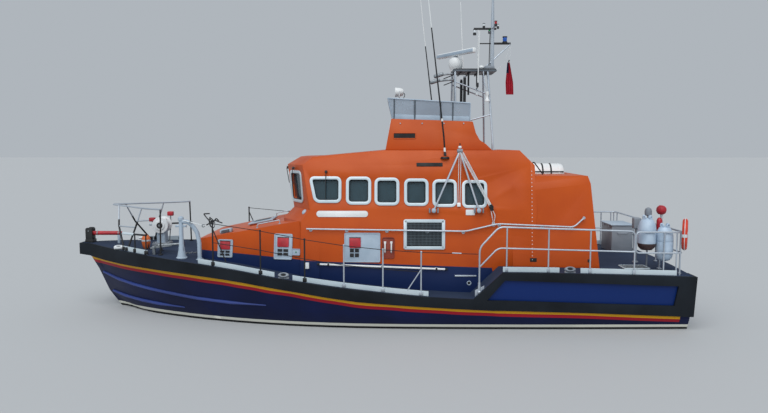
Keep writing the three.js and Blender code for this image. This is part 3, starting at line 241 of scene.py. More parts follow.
# Moulded acrylic lenses of the navigation lights: glossy and even
finish("lens_red", "red_bunting", "#B51E26", "#A01A22", (0.1, 0.2), patch=0.1)
finish("lens_clear", "white_plastic", "#DDE3E6", "#CED6DA", (0.08, 0.15), patch=0.1)
finish("lens_blue", "black_plastic", "#1F5FC0", "#1B52A6", (0.1, 0.18), patch=0.1)
finish("lens_green", "black_plastic", "#1B8A4A", "#187A42", (0.1, 0.18), patch=0.1)
print("weathered finishes:", len(MATERIALS))

# %% [markdown]
# The hull carries its colours in bands that follow the boat: a brown-red bottom, painted near-black as
# painted shade from just below the water up to the boot-top, a white boot-top line just above it, deep blue
# sides, and a yellow and a red stripe under the fender. The stripes rise towards the bow in a fair curve. A
# painter masks that curve with tape; here a colour ramp along the boat's length holds the curve's height, and
# the paint changes where the surface crosses it.

# %% Painted bands
BOAT_AFT, BOAT_FORE = -7.4, 7.4
RAMP_TOP = 4.0
STRIPE_TOP = [
    (-7.3, 0.3), (-5.08, 0.395), (-2.93, 0.455), (-1.86, 0.505), (-0.79, 0.572), (0.28, 0.655), (1.36, 0.815),
    (2.24, 0.93), (2.98, 1.023), (3.83, 1.087), (4.8, 1.138), (5.99, 1.186), (6.73, 1.24), (7.3, 1.3),
]
STRIPE_WIDTH = 0.07
STRIPE_END_X = -6.86
BOOT_TOP = (0.05, 0.115)
ANTIFOULING_TOP = -0.03


def height_along(tree, place, points, smooth="CARDINAL"):
    """The height of a fore-and-aft line through (x, z) points, read at each spot's Object X."""
    along = add_node(tree, "ShaderNodeSeparateXYZ", {0: place}).outputs["X"]
    share = between(tree, along, BOAT_AFT, BOAT_FORE)
    node = add_node(tree, "ShaderNodeValToRGB", {"Fac": share})
    ramp = node.color_ramp
    ramp.interpolation = smooth
    while len(ramp.elements) < len(points):
        ramp.elements.new(0.5)
    for element, (x, z) in zip(ramp.elements, sorted(points)):
        element.position = (x - BOAT_AFT) / (BOAT_FORE - BOAT_AFT)
        element.color = (z / RAMP_TOP,) * 3 + (1,)
    return math(tree, "MULTIPLY", node.outputs["Color"], RAMP_TOP)


def band(tree, value, low, high, soft=0.003):
    """1 where the value lies between low and high, with an edge as soft as masked paint."""
    above = between(tree, value, low - soft, low + soft)
    return math(tree, "SUBTRACT", above, between(tree, value, high - soft, high + soft))


material, tree, shader, place, tone = finish(
    "hull_bands", "hull_paint", "#0A1742", "#081236", (0.34, 0.46), grain=0.012, bump=0.0003,
    Specular_IOR_Level=0.2)
height = add_node(tree, "ShaderNodeSeparateXYZ", {0: place}).outputs["Z"]
along = add_node(tree, "ShaderNodeSeparateXYZ", {0: place}).outputs["X"]
drop = math(tree, "SUBTRACT", height, height_along(tree, place, STRIPE_TOP))
striped = math(tree, "GREATER_THAN", along, STRIPE_END_X)
tone = mix(tree, between(tree, drop, 0.03, 0.035), tone, linear("#0E2A66"))
for low, high, paint_colour in ((-STRIPE_WIDTH, 0.0, "#D39C1A"),
                                (-2 * STRIPE_WIDTH, -STRIPE_WIDTH, "#9C1828")):
    tone = mix(tree, math(tree, "MULTIPLY", band(tree, drop, low, high), striped), tone, linear(paint_colour))
ragged = math(tree, "ADD", height, math(tree, "MULTIPLY", noise(tree, place, 0.35), 0.03))
wet = between(tree, ragged, 0.2, 0.02)
tone = mix(tree, math(tree, "MULTIPLY", wet, 0.35), tone, linear("#20242A"))
tone = mix(tree, band(tree, height, *BOOT_TOP), tone, linear("#D9D9CE"))
# Near-black from the boot-top down to just below the water: painted shade over the brown-red bottom paint
tone = mix(tree, band(tree, height, -9, BOOT_TOP[0]), tone, linear("#1D1C1E"))
tone = mix(tree, band(tree, height, -9, ANTIFOULING_TOP, 0.012), tone, linear("#5F2B24"))
tree.links.new(tone, shader.inputs["Base Color"])
matt = between(tree, height, 0.0, 0.06, 0.85, 0.36)
tree.links.new(matt, shader.inputs["Roughness"])

NAVY_TOP = [(-7.3, 0.9), (-5.25, 1.0), (-2.9, 1.0), (-2.85, 1.29), (-2.73, 1.29), (1.0, 1.42), (2.95, 1.54),
            (3.9, 1.6), (7.3, 1.6)]
material, tree, shader, place, tone = finish(
    "cabin_bands", "orange_paint", "#C05216", "#B54913", (0.36, 0.48), grain=0.012, bump=0.00025,
    Specular_IOR_Level=0.25)
height = add_node(tree, "ShaderNodeSeparateXYZ", {0: place}).outputs["Z"]
below = math(tree, "SUBTRACT", height, height_along(tree, place, NAVY_TOP, "LINEAR"))
tone = mix(tree, between(tree, below, 0.004, -0.004), tone, linear("#182A55"))
tree.links.new(tone, shader.inputs["Base Color"])

# Tinted safety glass: smooth, grey-green, lets some light through
finish(
    "tinted_glass", "window_glass", "#54717D", "#4A6570", (0.06, 0.1), patch=0.3, grain=0.5, bump=0.0,
    Transmission_Weight=0.6)
# Flexible clear vinyl that has gone milky: soft ripples, half clear
finish(
    "clear_sheet", "white_plastic", "#B4C1CE", "#A2AEBC", (0.25, 0.4), patch=0.9, grain=0.12, bump=0.0006,
    Transmission_Weight=0.35)
print("materials in all:", len(MATERIALS))

# %% [markdown]
# The floor is plain and pale and lies at the water, so it hides what is under water in this view. The light
# is a pale sky with one broad soft light high on the port side: flat sides stay deep in colour, as they do
# under a cloudy sky, while everything that faces up goes bright.

# %% Floor and light
FLOOR_REACH = 400
SKY = "#DCE4EC"
SKY_STRENGTH = 0.6
SUN_STRENGTH = 2.1
SUN_SOFTNESS = 65
SUN_TURN = (radians(-38), radians(8), 0)

bpy.ops.object.select_all(action="DESELECT")
bpy.ops.mesh.primitive_plane_add(size=FLOOR_REACH, location=(0, 0, 0))
floor = bpy.context.object
floor.name = "floor"
floor_material = bpy.data.materials.new("pale_floor")
floor_material.use_nodes = True
floor_shader = floor_material.node_tree.nodes["Principled BSDF"]
floor_shader.inputs["Base Color"].default_value = linear("#B8BBBD")
floor_shader.inputs["Roughness"].default_value = 0.75
floor.data.materials.append(floor_material)

world = bpy.data.worlds.new("sky")
world.use_nodes = True
world.node_tree.nodes["Background"].inputs["Color"].default_value = linear(SKY)
world.node_tree.nodes["Background"].inputs["Strength"].default_value = SKY_STRENGTH
bpy.context.scene.world = world
bpy.context.scene.view_settings.view_transform = "Standard"

bpy.ops.object.light_add(type="SUN", location=(0, 4, 12), rotation=SUN_TURN)
sun = bpy.context.object
sun.name = "soft_sun"
sun.data.energy = SUN_STRENGTH
sun.data.angle = radians(SUN_SOFTNESS)
print("floor at the water, z =", floor.location.z)

# %% [markdown]
# Modelling needs a few hand tools. An operator works on all that is selected, so each tool first clears the
# selection. Faces and edges are then picked in code by where they are. A finished piece ends with its place
# baked into its mesh, its finish on it, and the body that it rides on.

# %% Hand tools: selecting, modifying and handing over
def only(*pieces):
    bpy.ops.object.select_all(action="DESELECT")
    for piece in pieces:
        piece.select_set(True)
    bpy.context.view_layer.objects.active = pieces[0]


def bake_place(piece):
    only(piece)
    bpy.ops.object.transform_apply(location=True, rotation=True, scale=True)
    return piece


def edit(piece):
    only(piece)
    bpy.ops.object.mode_set(mode="EDIT")
    bpy.ops.mesh.select_mode(type="VERT")
    bpy.ops.mesh.select_all(action="SELECT")


def leave():
    bpy.ops.object.mode_set(mode="OBJECT")
    return bpy.context.object


def pick(kind, test):
    """In edit mode, select only the verts, edges or faces that pass the test."""
    bpy.ops.mesh.select_mode(type={"verts": "VERT", "edges": "EDGE", "faces": "FACE"}[kind])
    bpy.ops.mesh.select_all(action="DESELECT")
    data = bpy.context.object.data
    mesh = bmesh.from_edit_mesh(data)
    for part in getattr(mesh, kind):
        part.select_set(bool(test(part)))
    bmesh.update_edit_mesh(data)


def modify(piece, kind, **settings):
    modifier = piece.modifiers.new(kind.title(), kind)
    for key, value in settings.items():
        setattr(modifier, key, value)
    only(piece)
    bpy.ops.object.modifier_apply(modifier=modifier.name)
    return piece


def soften(piece, width, segments=2, angle=40):
    return modify(piece, "BEVEL", width=width, segments=segments, limit_method="ANGLE",
                  angle_limit=radians(angle))


def coat(piece, name):
    piece.data.materials.clear()
    piece.data.materials.append(MATERIALS[name])
    return piece


def hand_over(name, parts, body="boat", stands_for=(), slot=None, angle=35):
    """Join the parts into one piece at the origin, shade it, and let it ride on its body."""
    for part in parts:
        bake_place(part)
    only(*parts)
    if len(parts) > 1:
        bpy.ops.object.join()
    piece = bpy.context.object
    piece.name = name
    piece.data.name = name
    bpy.ops.object.shade_smooth_by_angle(angle=radians(angle))
    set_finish(piece, slot or SLOTS[piece.data.materials[0].name])
    if body:
        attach(piece, body)
    if stands_for:
        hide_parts(*stands_for)
    return piece


def other_side(name):
    return name.replace("port", "starboard") if "port_" in name else name


def to_starboard(piece, stands_for=()):
    """A mirrored copy with its own mesh, handed over on the other side."""
    only(piece)
    bpy.ops.object.duplicate()
    copy = bpy.context.object
    copy.parent = None
    for key in list(copy.keys()):
        if key.startswith("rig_"):
            del copy[key]
    copy.scale.y = -1
    bake_place(copy)
    edit(copy)
    bpy.ops.mesh.normals_make_consistent(inside=False)
    leave()
    name = piece.name.replace("port_", "starboard_") if "port_" in piece.name else "starboard_" + piece.name
    body = other_side(piece["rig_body"])
    return hand_over(name, [copy], body, [other_side(node) for node in stands_for], piece["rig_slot"])


def pair(name, parts, node=None):
    """A piece and its mirrored copy; each stands for the CAD node of its own side, if there is one."""
    nodes = [node] if node else []
    to_starboard(hand_over(name, parts, stands_for=nodes), nodes)


# %% [markdown]
# The CAD nodes have exact shapes but crisp, faceted edges. Real plating and mouldings have small radii that
# catch the light. So each large node gets a finished copy: its loose triangles are merged, flat areas are
# cleaned, its edges are rounded by a bevel as wide as the real radius, and it is shaded smooth. The copy then
# stands for the node.

# %% Finished copies of the large nodes
def finished_copy(node, finish_name, edge=0.0, segments=2, angle=35, flat=0.6):
    source = NODES[node]
    copy = bpy.data.objects.new(node + "_finish", source.data.copy())
    bpy.context.collection.objects.link(copy)
    edit(copy)
    bpy.ops.mesh.remove_doubles(threshold=0.00005)
    bpy.ops.mesh.dissolve_limited(angle_limit=radians(flat))
    leave()
    if edge:
        soften(copy, edge, segments, 32)
    coat(copy, finish_name)
    return hand_over(node + "_finish", [copy], source["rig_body"], [node], angle=angle)


# Columns: node, finish, edge radius in metres, bevel segments
LARGE_NODES = [
    ("hull", "hull_bands", 0.0, 2),
    ("deck", "deck_grit", 0.0, 2),
    ("port_fender", "extruded_rubber", 0.045, 4),
    ("starboard_fender", "extruded_rubber", 0.045, 4),
    ("wheelhouse", "cabin_bands", 0.02, 2),
    ("aft_casing", "cabin_bands", 0.02, 2),
    ("aft_door", "orange_gloss", 0.012, 2),
    ("foredeck_hatch", "pale_paint", 0.012, 3),
    ("bridge_coaming", "orange_gloss", 0.014, 2),
    ("bridge_console", "pale_paint", 0.02, 3),
    ("bridge_windshield", "clear_sheet", 0.0, 2),
    ("helm_console", "console_black", 0.02, 3),
    ("stern_locker", "grey_enamel", 0.015, 3),
    ("skeg", "soft_antifouling", 0.03, 3),
    ("port_bilge_keel", "soft_antifouling", 0.02, 3),
    ("starboard_bilge_keel", "soft_antifouling", 0.02, 3),
    ("port_rudder", "soft_antifouling", 0.006, 2),
    ("starboard_rudder", "soft_antifouling", 0.006, 2),
    ("port_shaft_line", "galvanised", 0.004, 2),
    ("starboard_shaft_line", "galvanised", 0.004, 2),
    ("port_propeller", "cast_bronze", 0.002, 2),
    ("starboard_propeller", "cast_bronze", 0.002, 2),
    ("port_engine", "cast_iron", 0.02, 3),
    ("starboard_engine", "cast_iron", 0.02, 3),
]
for node, finish_name, edge, segments in LARGE_NODES:
    piece = finished_copy(node, finish_name, edge, segments)
    print(node, "finished with", len(piece.data.polygons), "faces")

for node in ("port_glazing", "starboard_glazing", "windscreen"):
    coat(NODES[node], "tinted_glass")
coat(NODES["wheelhouse_sole"], "deck_grit")

# %% [markdown]
# Fittings sit on walls that lean and taper. A level ray from abeam, or from ahead, finds the CAD wall and the
# way it faces. Each fitting is modelled facing +Y at the origin and then laid against the wall. A flat
# fitting starts as a plane whose corners are bevelled round; an inset and a deleted middle make it a frame,
# Solidify gives it its thickness, and a small bevel gives it a cast or pressed edge.

# %% Hand tools: walls, panels and slabs
SURFACES = {}
CASING_X = -3.7
# Turns that point a piece's own +Z to port, to starboard or to the bow
TO_PORT, TO_STARBOARD, TO_BOW = (-pi / 2, 0, 0), (pi / 2, 0, 0), (0, pi / 2, 0)


def meet(node, start, direction):
    """Where a ray first meets a CAD node, and the surface's direction there."""
    if node not in SURFACES:
        data = NODES[node].data
        SURFACES[node] = BVHTree.FromPolygons([v.co for v in data.vertices],
                                              [p.vertices for p in data.polygons])
    point, normal, *_ = SURFACES[node].ray_cast(Vector(start), Vector(direction))
    return point, normal


def on_side(x, z):
    return meet("wheelhouse" if x > CASING_X else "aft_casing", (x, 5, z), (0, -1, 0))


def deck_z(x, y):
    return meet("deck", (x, y, 5), (0, 0, -1))[0].z


def against(piece, point, normal, out=0.0):
    """Lay a fitting that faces +Y against a wall, with its foot out metres off it."""
    along_wall = normal.cross(Vector((0, 0, 1))).normalized()
    turn = Matrix((along_wall, normal, along_wall.cross(normal))).transposed().to_4x4()
    piece.matrix_world = Matrix.Translation(point + normal * out) @ turn @ piece.matrix_world
    return bake_place(piece)


def lay(parts, place, out=-0.002):
    """Lay fittings against a wall at one place, which is a point and the way the wall faces."""
    return [against(part, *place, out) for part in parts]


def panel(finish_name, width, height, thick, corner=0.01, border=0.0, edge=0.002, lean=0.0, at=(0, 0, 0)):
    """A rounded plate in the XZ plane that faces +Y, or a frame if it has a border."""
    bpy.ops.mesh.primitive_plane_add(size=1, rotation=TO_PORT, location=at)
    piece = bpy.context.object
    piece.scale = (width, height, 1)
    edit(bake_place(piece))
    if lean:
        pick("verts", lambda v: v.co.x > at[0] and v.co.z < at[2])
        bpy.ops.transform.translate(value=(-lean, 0, 0))
        bpy.ops.mesh.select_all(action="SELECT")
    bpy.ops.mesh.bevel(offset=corner, segments=5, affect="VERTICES")
    if border:
        bpy.ops.mesh.select_mode(type="FACE")
        bpy.ops.mesh.select_all(action="SELECT")
        bpy.ops.mesh.inset(thickness=border)
        bpy.ops.mesh.delete(type="FACE")
    leave()
    modify(piece, "SOLIDIFY", thickness=thick, offset=1)
    return coat(soften(piece, edge, 2, 50), finish_name)


def slab(finish_name, size, at, edge=0.004, segments=2, turn=(0, 0, 0)):
    """A block with rounded edges."""
    bpy.ops.mesh.primitive_cube_add(size=1, location=at, rotation=turn)
    piece = bpy.context.object
    piece.scale = size
    return coat(soften(bake_place(piece), edge, segments), finish_name)


# %% [markdown]
# Rails, legs and cables are tubes. A tube starts as one vertex that is extruded from bend to bend. Bevelling
# the inner vertices gives each bend its radius, as a pipe bender does. The chain then becomes a curve, gets
# its round section and closed ends, and turns back into a mesh. Round bodies are spun from half a profile
# instead.

# %% Hand tools: tubes, rings and turned bodies
def wire(points):
    """A chain of edges extruded point by point, left open in edit mode."""
    bpy.ops.mesh.primitive_plane_add(size=0.1, location=(0, 0, 0))
    bpy.ops.object.mode_set(mode="EDIT")
    bpy.ops.mesh.select_mode(type="VERT")
    bpy.ops.mesh.select_all(action="SELECT")
    bpy.ops.mesh.merge(type="CENTER")
    bpy.ops.transform.translate(value=points[0])
    for start, end in zip(points, points[1:]):
        bpy.ops.mesh.extrude_region_move(TRANSFORM_OT_translate={"value": Vector(end) - Vector(start)})
    return bpy.context.object


def tube(finish_name, points, radius, bend=0.0, sides=2, closed=False):
    """A round bar through points; radius may be a list, one for each point."""
    piece = wire(points)
    first, last = Vector(points[0]), Vector(points[-1])
    if closed:
        pick("verts", lambda v: (v.co - first).length < 1e-5 or (v.co - last).length < 1e-5)
        bpy.ops.mesh.edge_face_add()
    if bend:
        pick("verts", lambda v: closed or min((v.co - first).length, (v.co - last).length) > 1e-5)
        bpy.ops.mesh.bevel(offset=bend, segments=5, affect="VERTICES")
    leave()
    bpy.ops.object.convert(target="CURVE")
    curve = bpy.context.object.data
    if isinstance(radius, (list, tuple)):
        curve.bevel_depth = 1.0
        spline = curve.splines[0]
        order = radius if (spline.points[0].co.to_3d() - first).length < 1e-5 else radius[::-1]
        for point, size in zip(spline.points, order):
            point.radius = size
    else:
        curve.bevel_depth = radius
    curve.bevel_resolution = sides
    curve.use_fill_caps = not closed
    bpy.ops.object.convert(target="MESH")
    return coat(bpy.context.object, finish_name)


def spun(finish_name, profile, at=(0, 0, 0), turn=(0, 0, 0), steps=24):
    """A round body: a profile of (radius, height) points spun about Z, then turned and put in its place."""
    wire([(radius, 0, height) for radius, height in profile])
    bpy.ops.mesh.select_all(action="SELECT")
    bpy.ops.mesh.spin(steps=steps, angle=2 * pi, center=(0, 0, 0), axis=(0, 0, 1))
    bpy.ops.mesh.select_all(action="SELECT")
    bpy.ops.mesh.remove_doubles(threshold=0.00005)
    bpy.ops.mesh.normals_make_consistent(inside=False)
    piece = leave()
    piece.rotation_euler = turn
    piece.location = at
    return coat(bake_place(piece), finish_name)


def torus(finish_name, at, turn, radius, thin, steps=20, sides=8, stretch=(1, 1, 1)):
    """A ring of round section."""
    bpy.ops.mesh.primitive_torus_add(location=at, rotation=turn, major_radius=radius, minor_radius=thin,
                                     major_segments=steps, minor_segments=sides)
    bpy.context.object.scale = stretch
    return coat(bpy.context.object, finish_name)


def mirrored_parts(parts):
    """The parts and their mirror images across the centreline, not yet joined."""
    copies = []
    for part in parts:
        only(part)
        bpy.ops.object.duplicate()
        copy = bpy.context.object
        copy.scale.y = -1
        edit(bake_place(copy))
        bpy.ops.mesh.normals_make_consistent(inside=False)
        copies.append(leave())
    return parts + copies


# %% [markdown]
# Each window of the wheelhouse is a pane in a rounded alloy frame that is bolted on from outside. A real
# frame is a casting or a bent section with a black rubber bead against the glass. Here a rounded plane is
# inset to the frame's width for the alloy, and a narrower ring inside it makes the bead. The foremost one has
# a raked edge.

# %% Side windows
# Columns: aft x, forward x, low z and high z of the frame, and the rake of its forward edge
SIDE_FRAMES = [
    (0.518, 1.258, 2.716, 3.308, 0.13),
    (-0.148, 0.419, 2.679, 3.304, 0),
    (-0.778, -0.220, 2.662, 3.282, 0),
    (-1.429, -0.882, 2.652, 3.263, 0),
    (-2.061, -1.513, 2.629, 3.245, 0),
    (-2.734, -2.171, 2.605, 3.228, 0),
]
FRAME_WIDTH = 0.068
FRAME_THICK = 0.022
FRAME_CORNER = 0.125
BEAD_WIDTH = 0.02
LEAN_STRETCH = 1.01


def frame_parts(width, height, lean=0.0):
    alloy = panel("anodised_frame", width, height, FRAME_THICK, FRAME_CORNER, FRAME_WIDTH, 0.005, lean)
    inner = (width - 2 * FRAME_WIDTH + 0.01, height - 2 * FRAME_WIDTH + 0.01)
    bead = panel("soft_rubber", *inner, 0.012, FRAME_CORNER - FRAME_WIDTH + 0.01, BEAD_WIDTH, 0.002,
                 lean * 0.8)
    return [alloy, bead]


def wall_through(x, z, probe_z):
    """The point of a flat side wall at (x, z), found from a spot beside an opening in it."""
    spot, normal = on_side(x, probe_z)
    rise = z - spot.z
    return Vector((x, spot.y - rise * normal.z / normal.y, z)), normal


for number, (aft, fore, low, high, lean) in enumerate(SIDE_FRAMES, 1):
    middle_x, middle_z = (aft + fore) / 2, (low + high) / 2
    place = wall_through(middle_x, middle_z, low - 0.03)
    parts = lay(frame_parts(fore - aft, (high - low) * LEAN_STRETCH, lean), place)
    pair(f"port_window_frame_{number}", parts)
print("side windows:", 2 * len(SIDE_FRAMES))

# %% Windscreen
# Columns: lowest and highest y of each opening, over the centre panel and its angled corners
SCREEN_PANES = [(-0.21, 0.21), (0.29, 0.64), (-0.64, -0.29), (0.8, 1.33), (-1.33, -0.8)]
SCREEN_Z = (2.74, 3.38)
SCREEN_BORDER = 0.05
for number, (low, high) in enumerate(SCREEN_PANES, 1):
    middle_y, middle_z = (low + high) / 2, sum(SCREEN_Z) / 2
    spot, normal = meet("wheelhouse", (5, middle_y, SCREEN_Z[0] - 0.08), (-1, 0, 0))
    rise = middle_z - spot.z
    point = Vector((spot.x - rise * normal.z / normal.x, middle_y, middle_z))
    along_wall = normal.cross(Vector((0, 0, 1))).normalized()
    up_wall = along_wall.cross(normal)
    width = (high - low + 2 * SCREEN_BORDER) / abs(along_wall.y)
    tall = (SCREEN_Z[1] - SCREEN_Z[0] + 2 * SCREEN_BORDER) / up_wall.z
    parts = lay(frame_parts(width, tall), (point, normal))
    head = point + up_wall * (tall / 2 + 0.05) + normal * 0.03
    elbow = point + up_wall * 0.06 + normal * 0.075
    blade = [elbow + up_wall * reach - normal * 0.025 for reach in (0.2, -0.3)]
    parts += [
        spun("black_coat", [(0, 0), (0.028, 0), (0.032, 0.01), (0.03, 0.045), (0, 0.05)], head, TO_BOW),
        tube("black_coat", [head, head + normal * 0.05, elbow], 0.008, 0.02),
        tube("soft_rubber", blade, 0.009),
    ]
    hand_over(f"windscreen_frame_{number}", parts)
print("windscreen panes:", len(SCREEN_PANES))

# %% [markdown]
# Vents, chests and plates on the side of the superstructure are pale pressed panels with rounded corners. The
# vents have a red flap above a grid of four dark holes. Each is built from panels at real depths: the holes
# are black insets behind a cross of pale bars, so they read as openings from any side; the black of the
# insets is painted shade for the dark inside of the openings.

# %% Vents and chests
def vent_parts(width, height, flap, holes):
    """A pale panel with a red flap and four holes, each as (x, z, width, height) from its middle."""
    parts = [panel("pale_paint", width, height, 0.022, 0.035, 0, 0.005)]
    parts.append(panel("pale_paint", width, height, 0.03, 0.035, 0.03, 0.004))
    x, z, wide, tall = flap
    parts.append(panel("red_enamel", wide, tall, 0.046, 0.02, 0, 0.006, at=(x, 0, z)))
    hinge = [(x - wide / 2, 0.04, z + tall / 2), (x + wide / 2, 0.04, z + tall / 2)]
    parts.append(tube("black_coat", hinge, 0.01))
    x, z, wide, tall = holes
    # Each hole is a black inset: painted shade for the dark inside of an opening
    for side in (-1, 1):
        for level in (-1, 1):
            spot = (x + side * wide * 0.26, 0, z + level * tall * 0.26)
            parts.append(panel("soft_rubber", wide * 0.45, tall * 0.45, 0.0295, 0.012, 0, 0.001, at=spot))
            parts.append(panel("pale_paint", wide * 0.48, tall * 0.48, 0.032, 0.014, 0.006, 0.001, at=spot))
    return parts


# Columns: name, x and z of the middle, width, height, flap and holes
VENTS = [
    ("vent_fore", 3.22, 1.64, 0.369, 0.413, (0, 0.07, 0.25, 0.19), (0, -0.11, 0.25, 0.13)),
    ("vent_middle", 1.84, 1.723, 0.435, 0.583, (0, 0.1, 0.269, 0.213), (0, -0.128, 0.268, 0.163)),
    ("vent_chest", 0.048, 1.732, 0.802, 0.66, (0.162, 0.105, 0.255, 0.228), (0.175, -0.12, 0.215, 0.204)),
]
for name, x, z, width, height, flap, holes in VENTS:
    parts = vent_parts(width, height, flap, holes)
    if name == "vent_chest":
        dome = [(0, 0.03), (0.008, 0.028), (0.012, 0.022), (0.012, 0)]
        for dx, dz in ((-0.37, 0.29), (-0.05, 0.29), (-0.37, -0.29), (-0.05, -0.29), (-0.37, 0.0)):
            parts.append(spun("marine_aluminium", dome, (dx, 0, dz), TO_PORT, 10))
    pair(f"port_{name}", lay(parts, on_side(x, z), -0.004))
print("vents:", 2 * len(VENTS))

# %% [markdown]
# The louvre lets air to the engines: an alloy frame with upright blades behind it. One blade is modelled and
# copied along by an Array modifier. The hose recess beside it is a brown-red box with two white handles.

# %% Louvre, recess and small plates
LOUVRE = (0.922, 0.67)
GRILLE = (0.782, 0.529)
BLADE_STEP = 0.03
blade = slab("dark_slats", (0.012, 0.02, GRILLE[1]), (-GRILLE[0] / 2 + 0.012, 0.014, 0.018), 0.003, 1)
modify(blade, "ARRAY", count=int(GRILLE[0] / BLADE_STEP), use_relative_offset=False, use_constant_offset=True,
       constant_offset_displace=(BLADE_STEP, 0, 0))
rung = slab("dark_slats", (GRILLE[0], 0.012, 0.008), (0, 0.02, -GRILLE[1] / 2 + 0.05), 0.002, 1)
modify(rung, "ARRAY", count=8, use_relative_offset=False, use_constant_offset=True,
       constant_offset_displace=(0, 0, 0.062))
parts = [
    panel("anodised_frame", *LOUVRE, 0.032, 0.02, 0.07, 0.005),
    # The black sheet behind the blades is painted shade for the dark opening behind them
    panel("soft_rubber", GRILLE[0] + 0.04, GRILLE[1] + 0.04, 0.004, 0.01, at=(0, 0, 0.018)),
    blade,
    rung,
]
pair("port_louvre", lay(parts, on_side(-1.333, 2.026)))

parts = [
    panel("oxide_paint", 0.282, 0.474, 0.008, 0.05, 0, 0.002),
    panel("oxide_paint", 0.282, 0.474, 0.024, 0.05, 0.018, 0.004),
]
for x in (-0.07, 0.07):
    grip = [(x, 0.008, 0.12), (x, 0.055, 0.1), (x, 0.055, -0.08), (x, 0.008, -0.1)]
    parts.append(tube("white_moulding", grip, 0.017, 0.025))
    parts.append(slab("white_moulding", (0.05, 0.014, 0.05), (x, 0.012, 0.12)))
pair("port_hose_recess", lay(parts, on_side(-0.529, 1.724)))

# Columns: name, finish, x, z, width, height, thickness, corner radius
PLATES = [
    ("name_plate", "white_moulding", 0.499, 2.477, 1.154, 0.14, 0.012, 0.066),
    ("notice_plate", "white_enamel", -2.357, 2.514, 0.202, 0.124, 0.014, 0.015),
    ("shore_box", "pale_paint", 1.536, 1.612, 0.196, 0.147, 0.03, 0.02),
    ("switch_box", "white_enamel", 1.274, 1.329, 0.079, 0.138, 0.05, 0.01),
    # The slot, scupper and drain port are black plates: painted shade for the dark inside of each opening
    ("roof_slot", "soft_rubber", -1.452, 3.572, 0.588, 0.088, 0.006, 0.015),
    ("scupper", "soft_rubber", -3.752, 1.466, 0.15, 0.085, 0.006, 0.006),
    ("drain_port", "soft_rubber", -4.98, 1.45, 0.06, 0.07, 0.006, 0.01),
]
for name, finish_name, x, z, width, height, thick, corner in PLATES:
    parts = [panel(finish_name, width, height, thick, corner, 0, 0.003)]
    if name == "name_plate":
        parts.append(panel("silver_tape", width, height, thick + 0.002, corner, 0.008, 0.001))
    if name == "shore_box":
        parts.append(spun("lens_green", [(0, 0.05), (0.012, 0.047), (0.016, 0.03)], turn=TO_PORT, steps=12))
        parts.append(panel("pale_paint", width, height, thick + 0.01, corner, 0.014, 0.003))
    pair(f"port_{name}", lay(parts, on_side(x, z), -0.003))
print("plates:", 2 * len(PLATES))

# %% [markdown]
# The guard rails stand on pale alloy plates along the deck edge. Forward the posts are black and carry two
# sheathed wires; aft there is a welded rail of round tube with swept bends. The plates follow the curve of
# the deck edge, so each is a chain of points on that curve, extruded upwards and given its thickness.

# %% Rails along the sides
HALF_BEAM, STERN_HALF, WIDEST_X, STEM_X = 2.4, 2.32, -0.9, 7.07
PLATE_HEIGHT, PLATE_THICK, PLATE_INSET, PLATE_STEP = 0.11, 0.012, 0.045, 0.22
POST_RADIUS, RAIL_RADIUS, WIRE_RADIUS = 0.017, 0.02, 0.008


def edge_y(x):
    """Half-breadth at which the plates stand, from the hull's own deck line."""
    if x > WIDEST_X:
        return HALF_BEAM * (1 - ((x - WIDEST_X) / (STEM_X - WIDEST_X)) ** 2.7) - PLATE_INSET
    return HALF_BEAM - (HALF_BEAM - STERN_HALF) * ((WIDEST_X - x) / (WIDEST_X + STEM_X)) ** 2 - PLATE_INSET


def edge_point(x, z=None, inboard=0.0):
    y = edge_y(x) - inboard
    return (x, y, deck_z(x, y) if z is None else z)


def edge_plate(fore, aft):
    steps = max(3, round((fore - aft) / PLATE_STEP))
    piece = wire([edge_point(fore + (aft - fore) * k / steps) for k in range(steps + 1)])
    bpy.ops.mesh.select_all(action="SELECT")
    bpy.ops.mesh.extrude_region_move(TRANSFORM_OT_translate={"value": (0, 0, PLATE_HEIGHT)})
    leave()
    modify(piece, "SOLIDIFY", thickness=PLATE_THICK, offset=0)
    return coat(soften(piece, 0.003, 1, 50), "anodised_frame")


def socket(finish_name, x, wide=0.085):
    return slab(finish_name, (wide, 0.045, 0.085), edge_point(x, deck_z(x, edge_y(x)) + 0.05), 0.008)


# Columns: x of the post, height of its top, and its finish
SIDE_POSTS = [
    (3.35, 2.30, "black_coat"), (2.25, 2.17, "black_coat"), (1.27, 2.0, "black_coat"),
    (0.42, 1.88, "marine_aluminium"), (-0.42, 1.795, "marine_aluminium"), (-1.24, 1.74, "marine_aluminium"),
]
LOWER_WIRE_DROP = 0.44
parts = [edge_plate(3.72, 1.94), edge_plate(1.54, -1.4)]
for x, top, finish_name in SIDE_POSTS:
    parts.append(tube(finish_name, [edge_point(x), edge_point(x, top)], POST_RADIUS))
    parts.append(socket(finish_name, x))
    cap = [(0, 0.012), (0.014, 0.01), (0.021, 0.0), (0.021, -0.02), (0.017, -0.03)]
    parts.append(spun(finish_name, cap, edge_point(x, top), steps=12))
upper = [edge_point(x, top - 0.02) for x, top, _ in SIDE_POSTS] + [edge_point(-2.46, 1.685)]
lower = [edge_point(x, top - LOWER_WIRE_DROP) for x, top, _ in SIDE_POSTS]
parts.append(tube("soft_rubber", upper, WIRE_RADIUS, sides=1))
parts.append(tube("soft_rubber", lower, WIRE_RADIUS, sides=1))
parts.append(tube("marine_aluminium", [edge_point(-1.9, 1.71), edge_point(-2.1, 1.702)], 0.012))
parts.append(tube("black_coat", [edge_point(3.34, 2.15), edge_point(3.05, 1.44, 0.02)], 0.013))
parts.append(tube("marine_aluminium", [edge_point(-1.24, 1.35), edge_point(-0.95, 0.9)], 0.013))
pair("port_side_rail_tubes", parts, "port_side_rail")

AFT_RAIL_Y = edge_y(-4.0)
AFT_POSTS = [(-3.07, 2.28), (-3.96, 2.247), (-4.85, 2.212), (-5.79, 2.0)]


def aft_line(points):
    return [(x, AFT_RAIL_Y, z) for x, z in points]


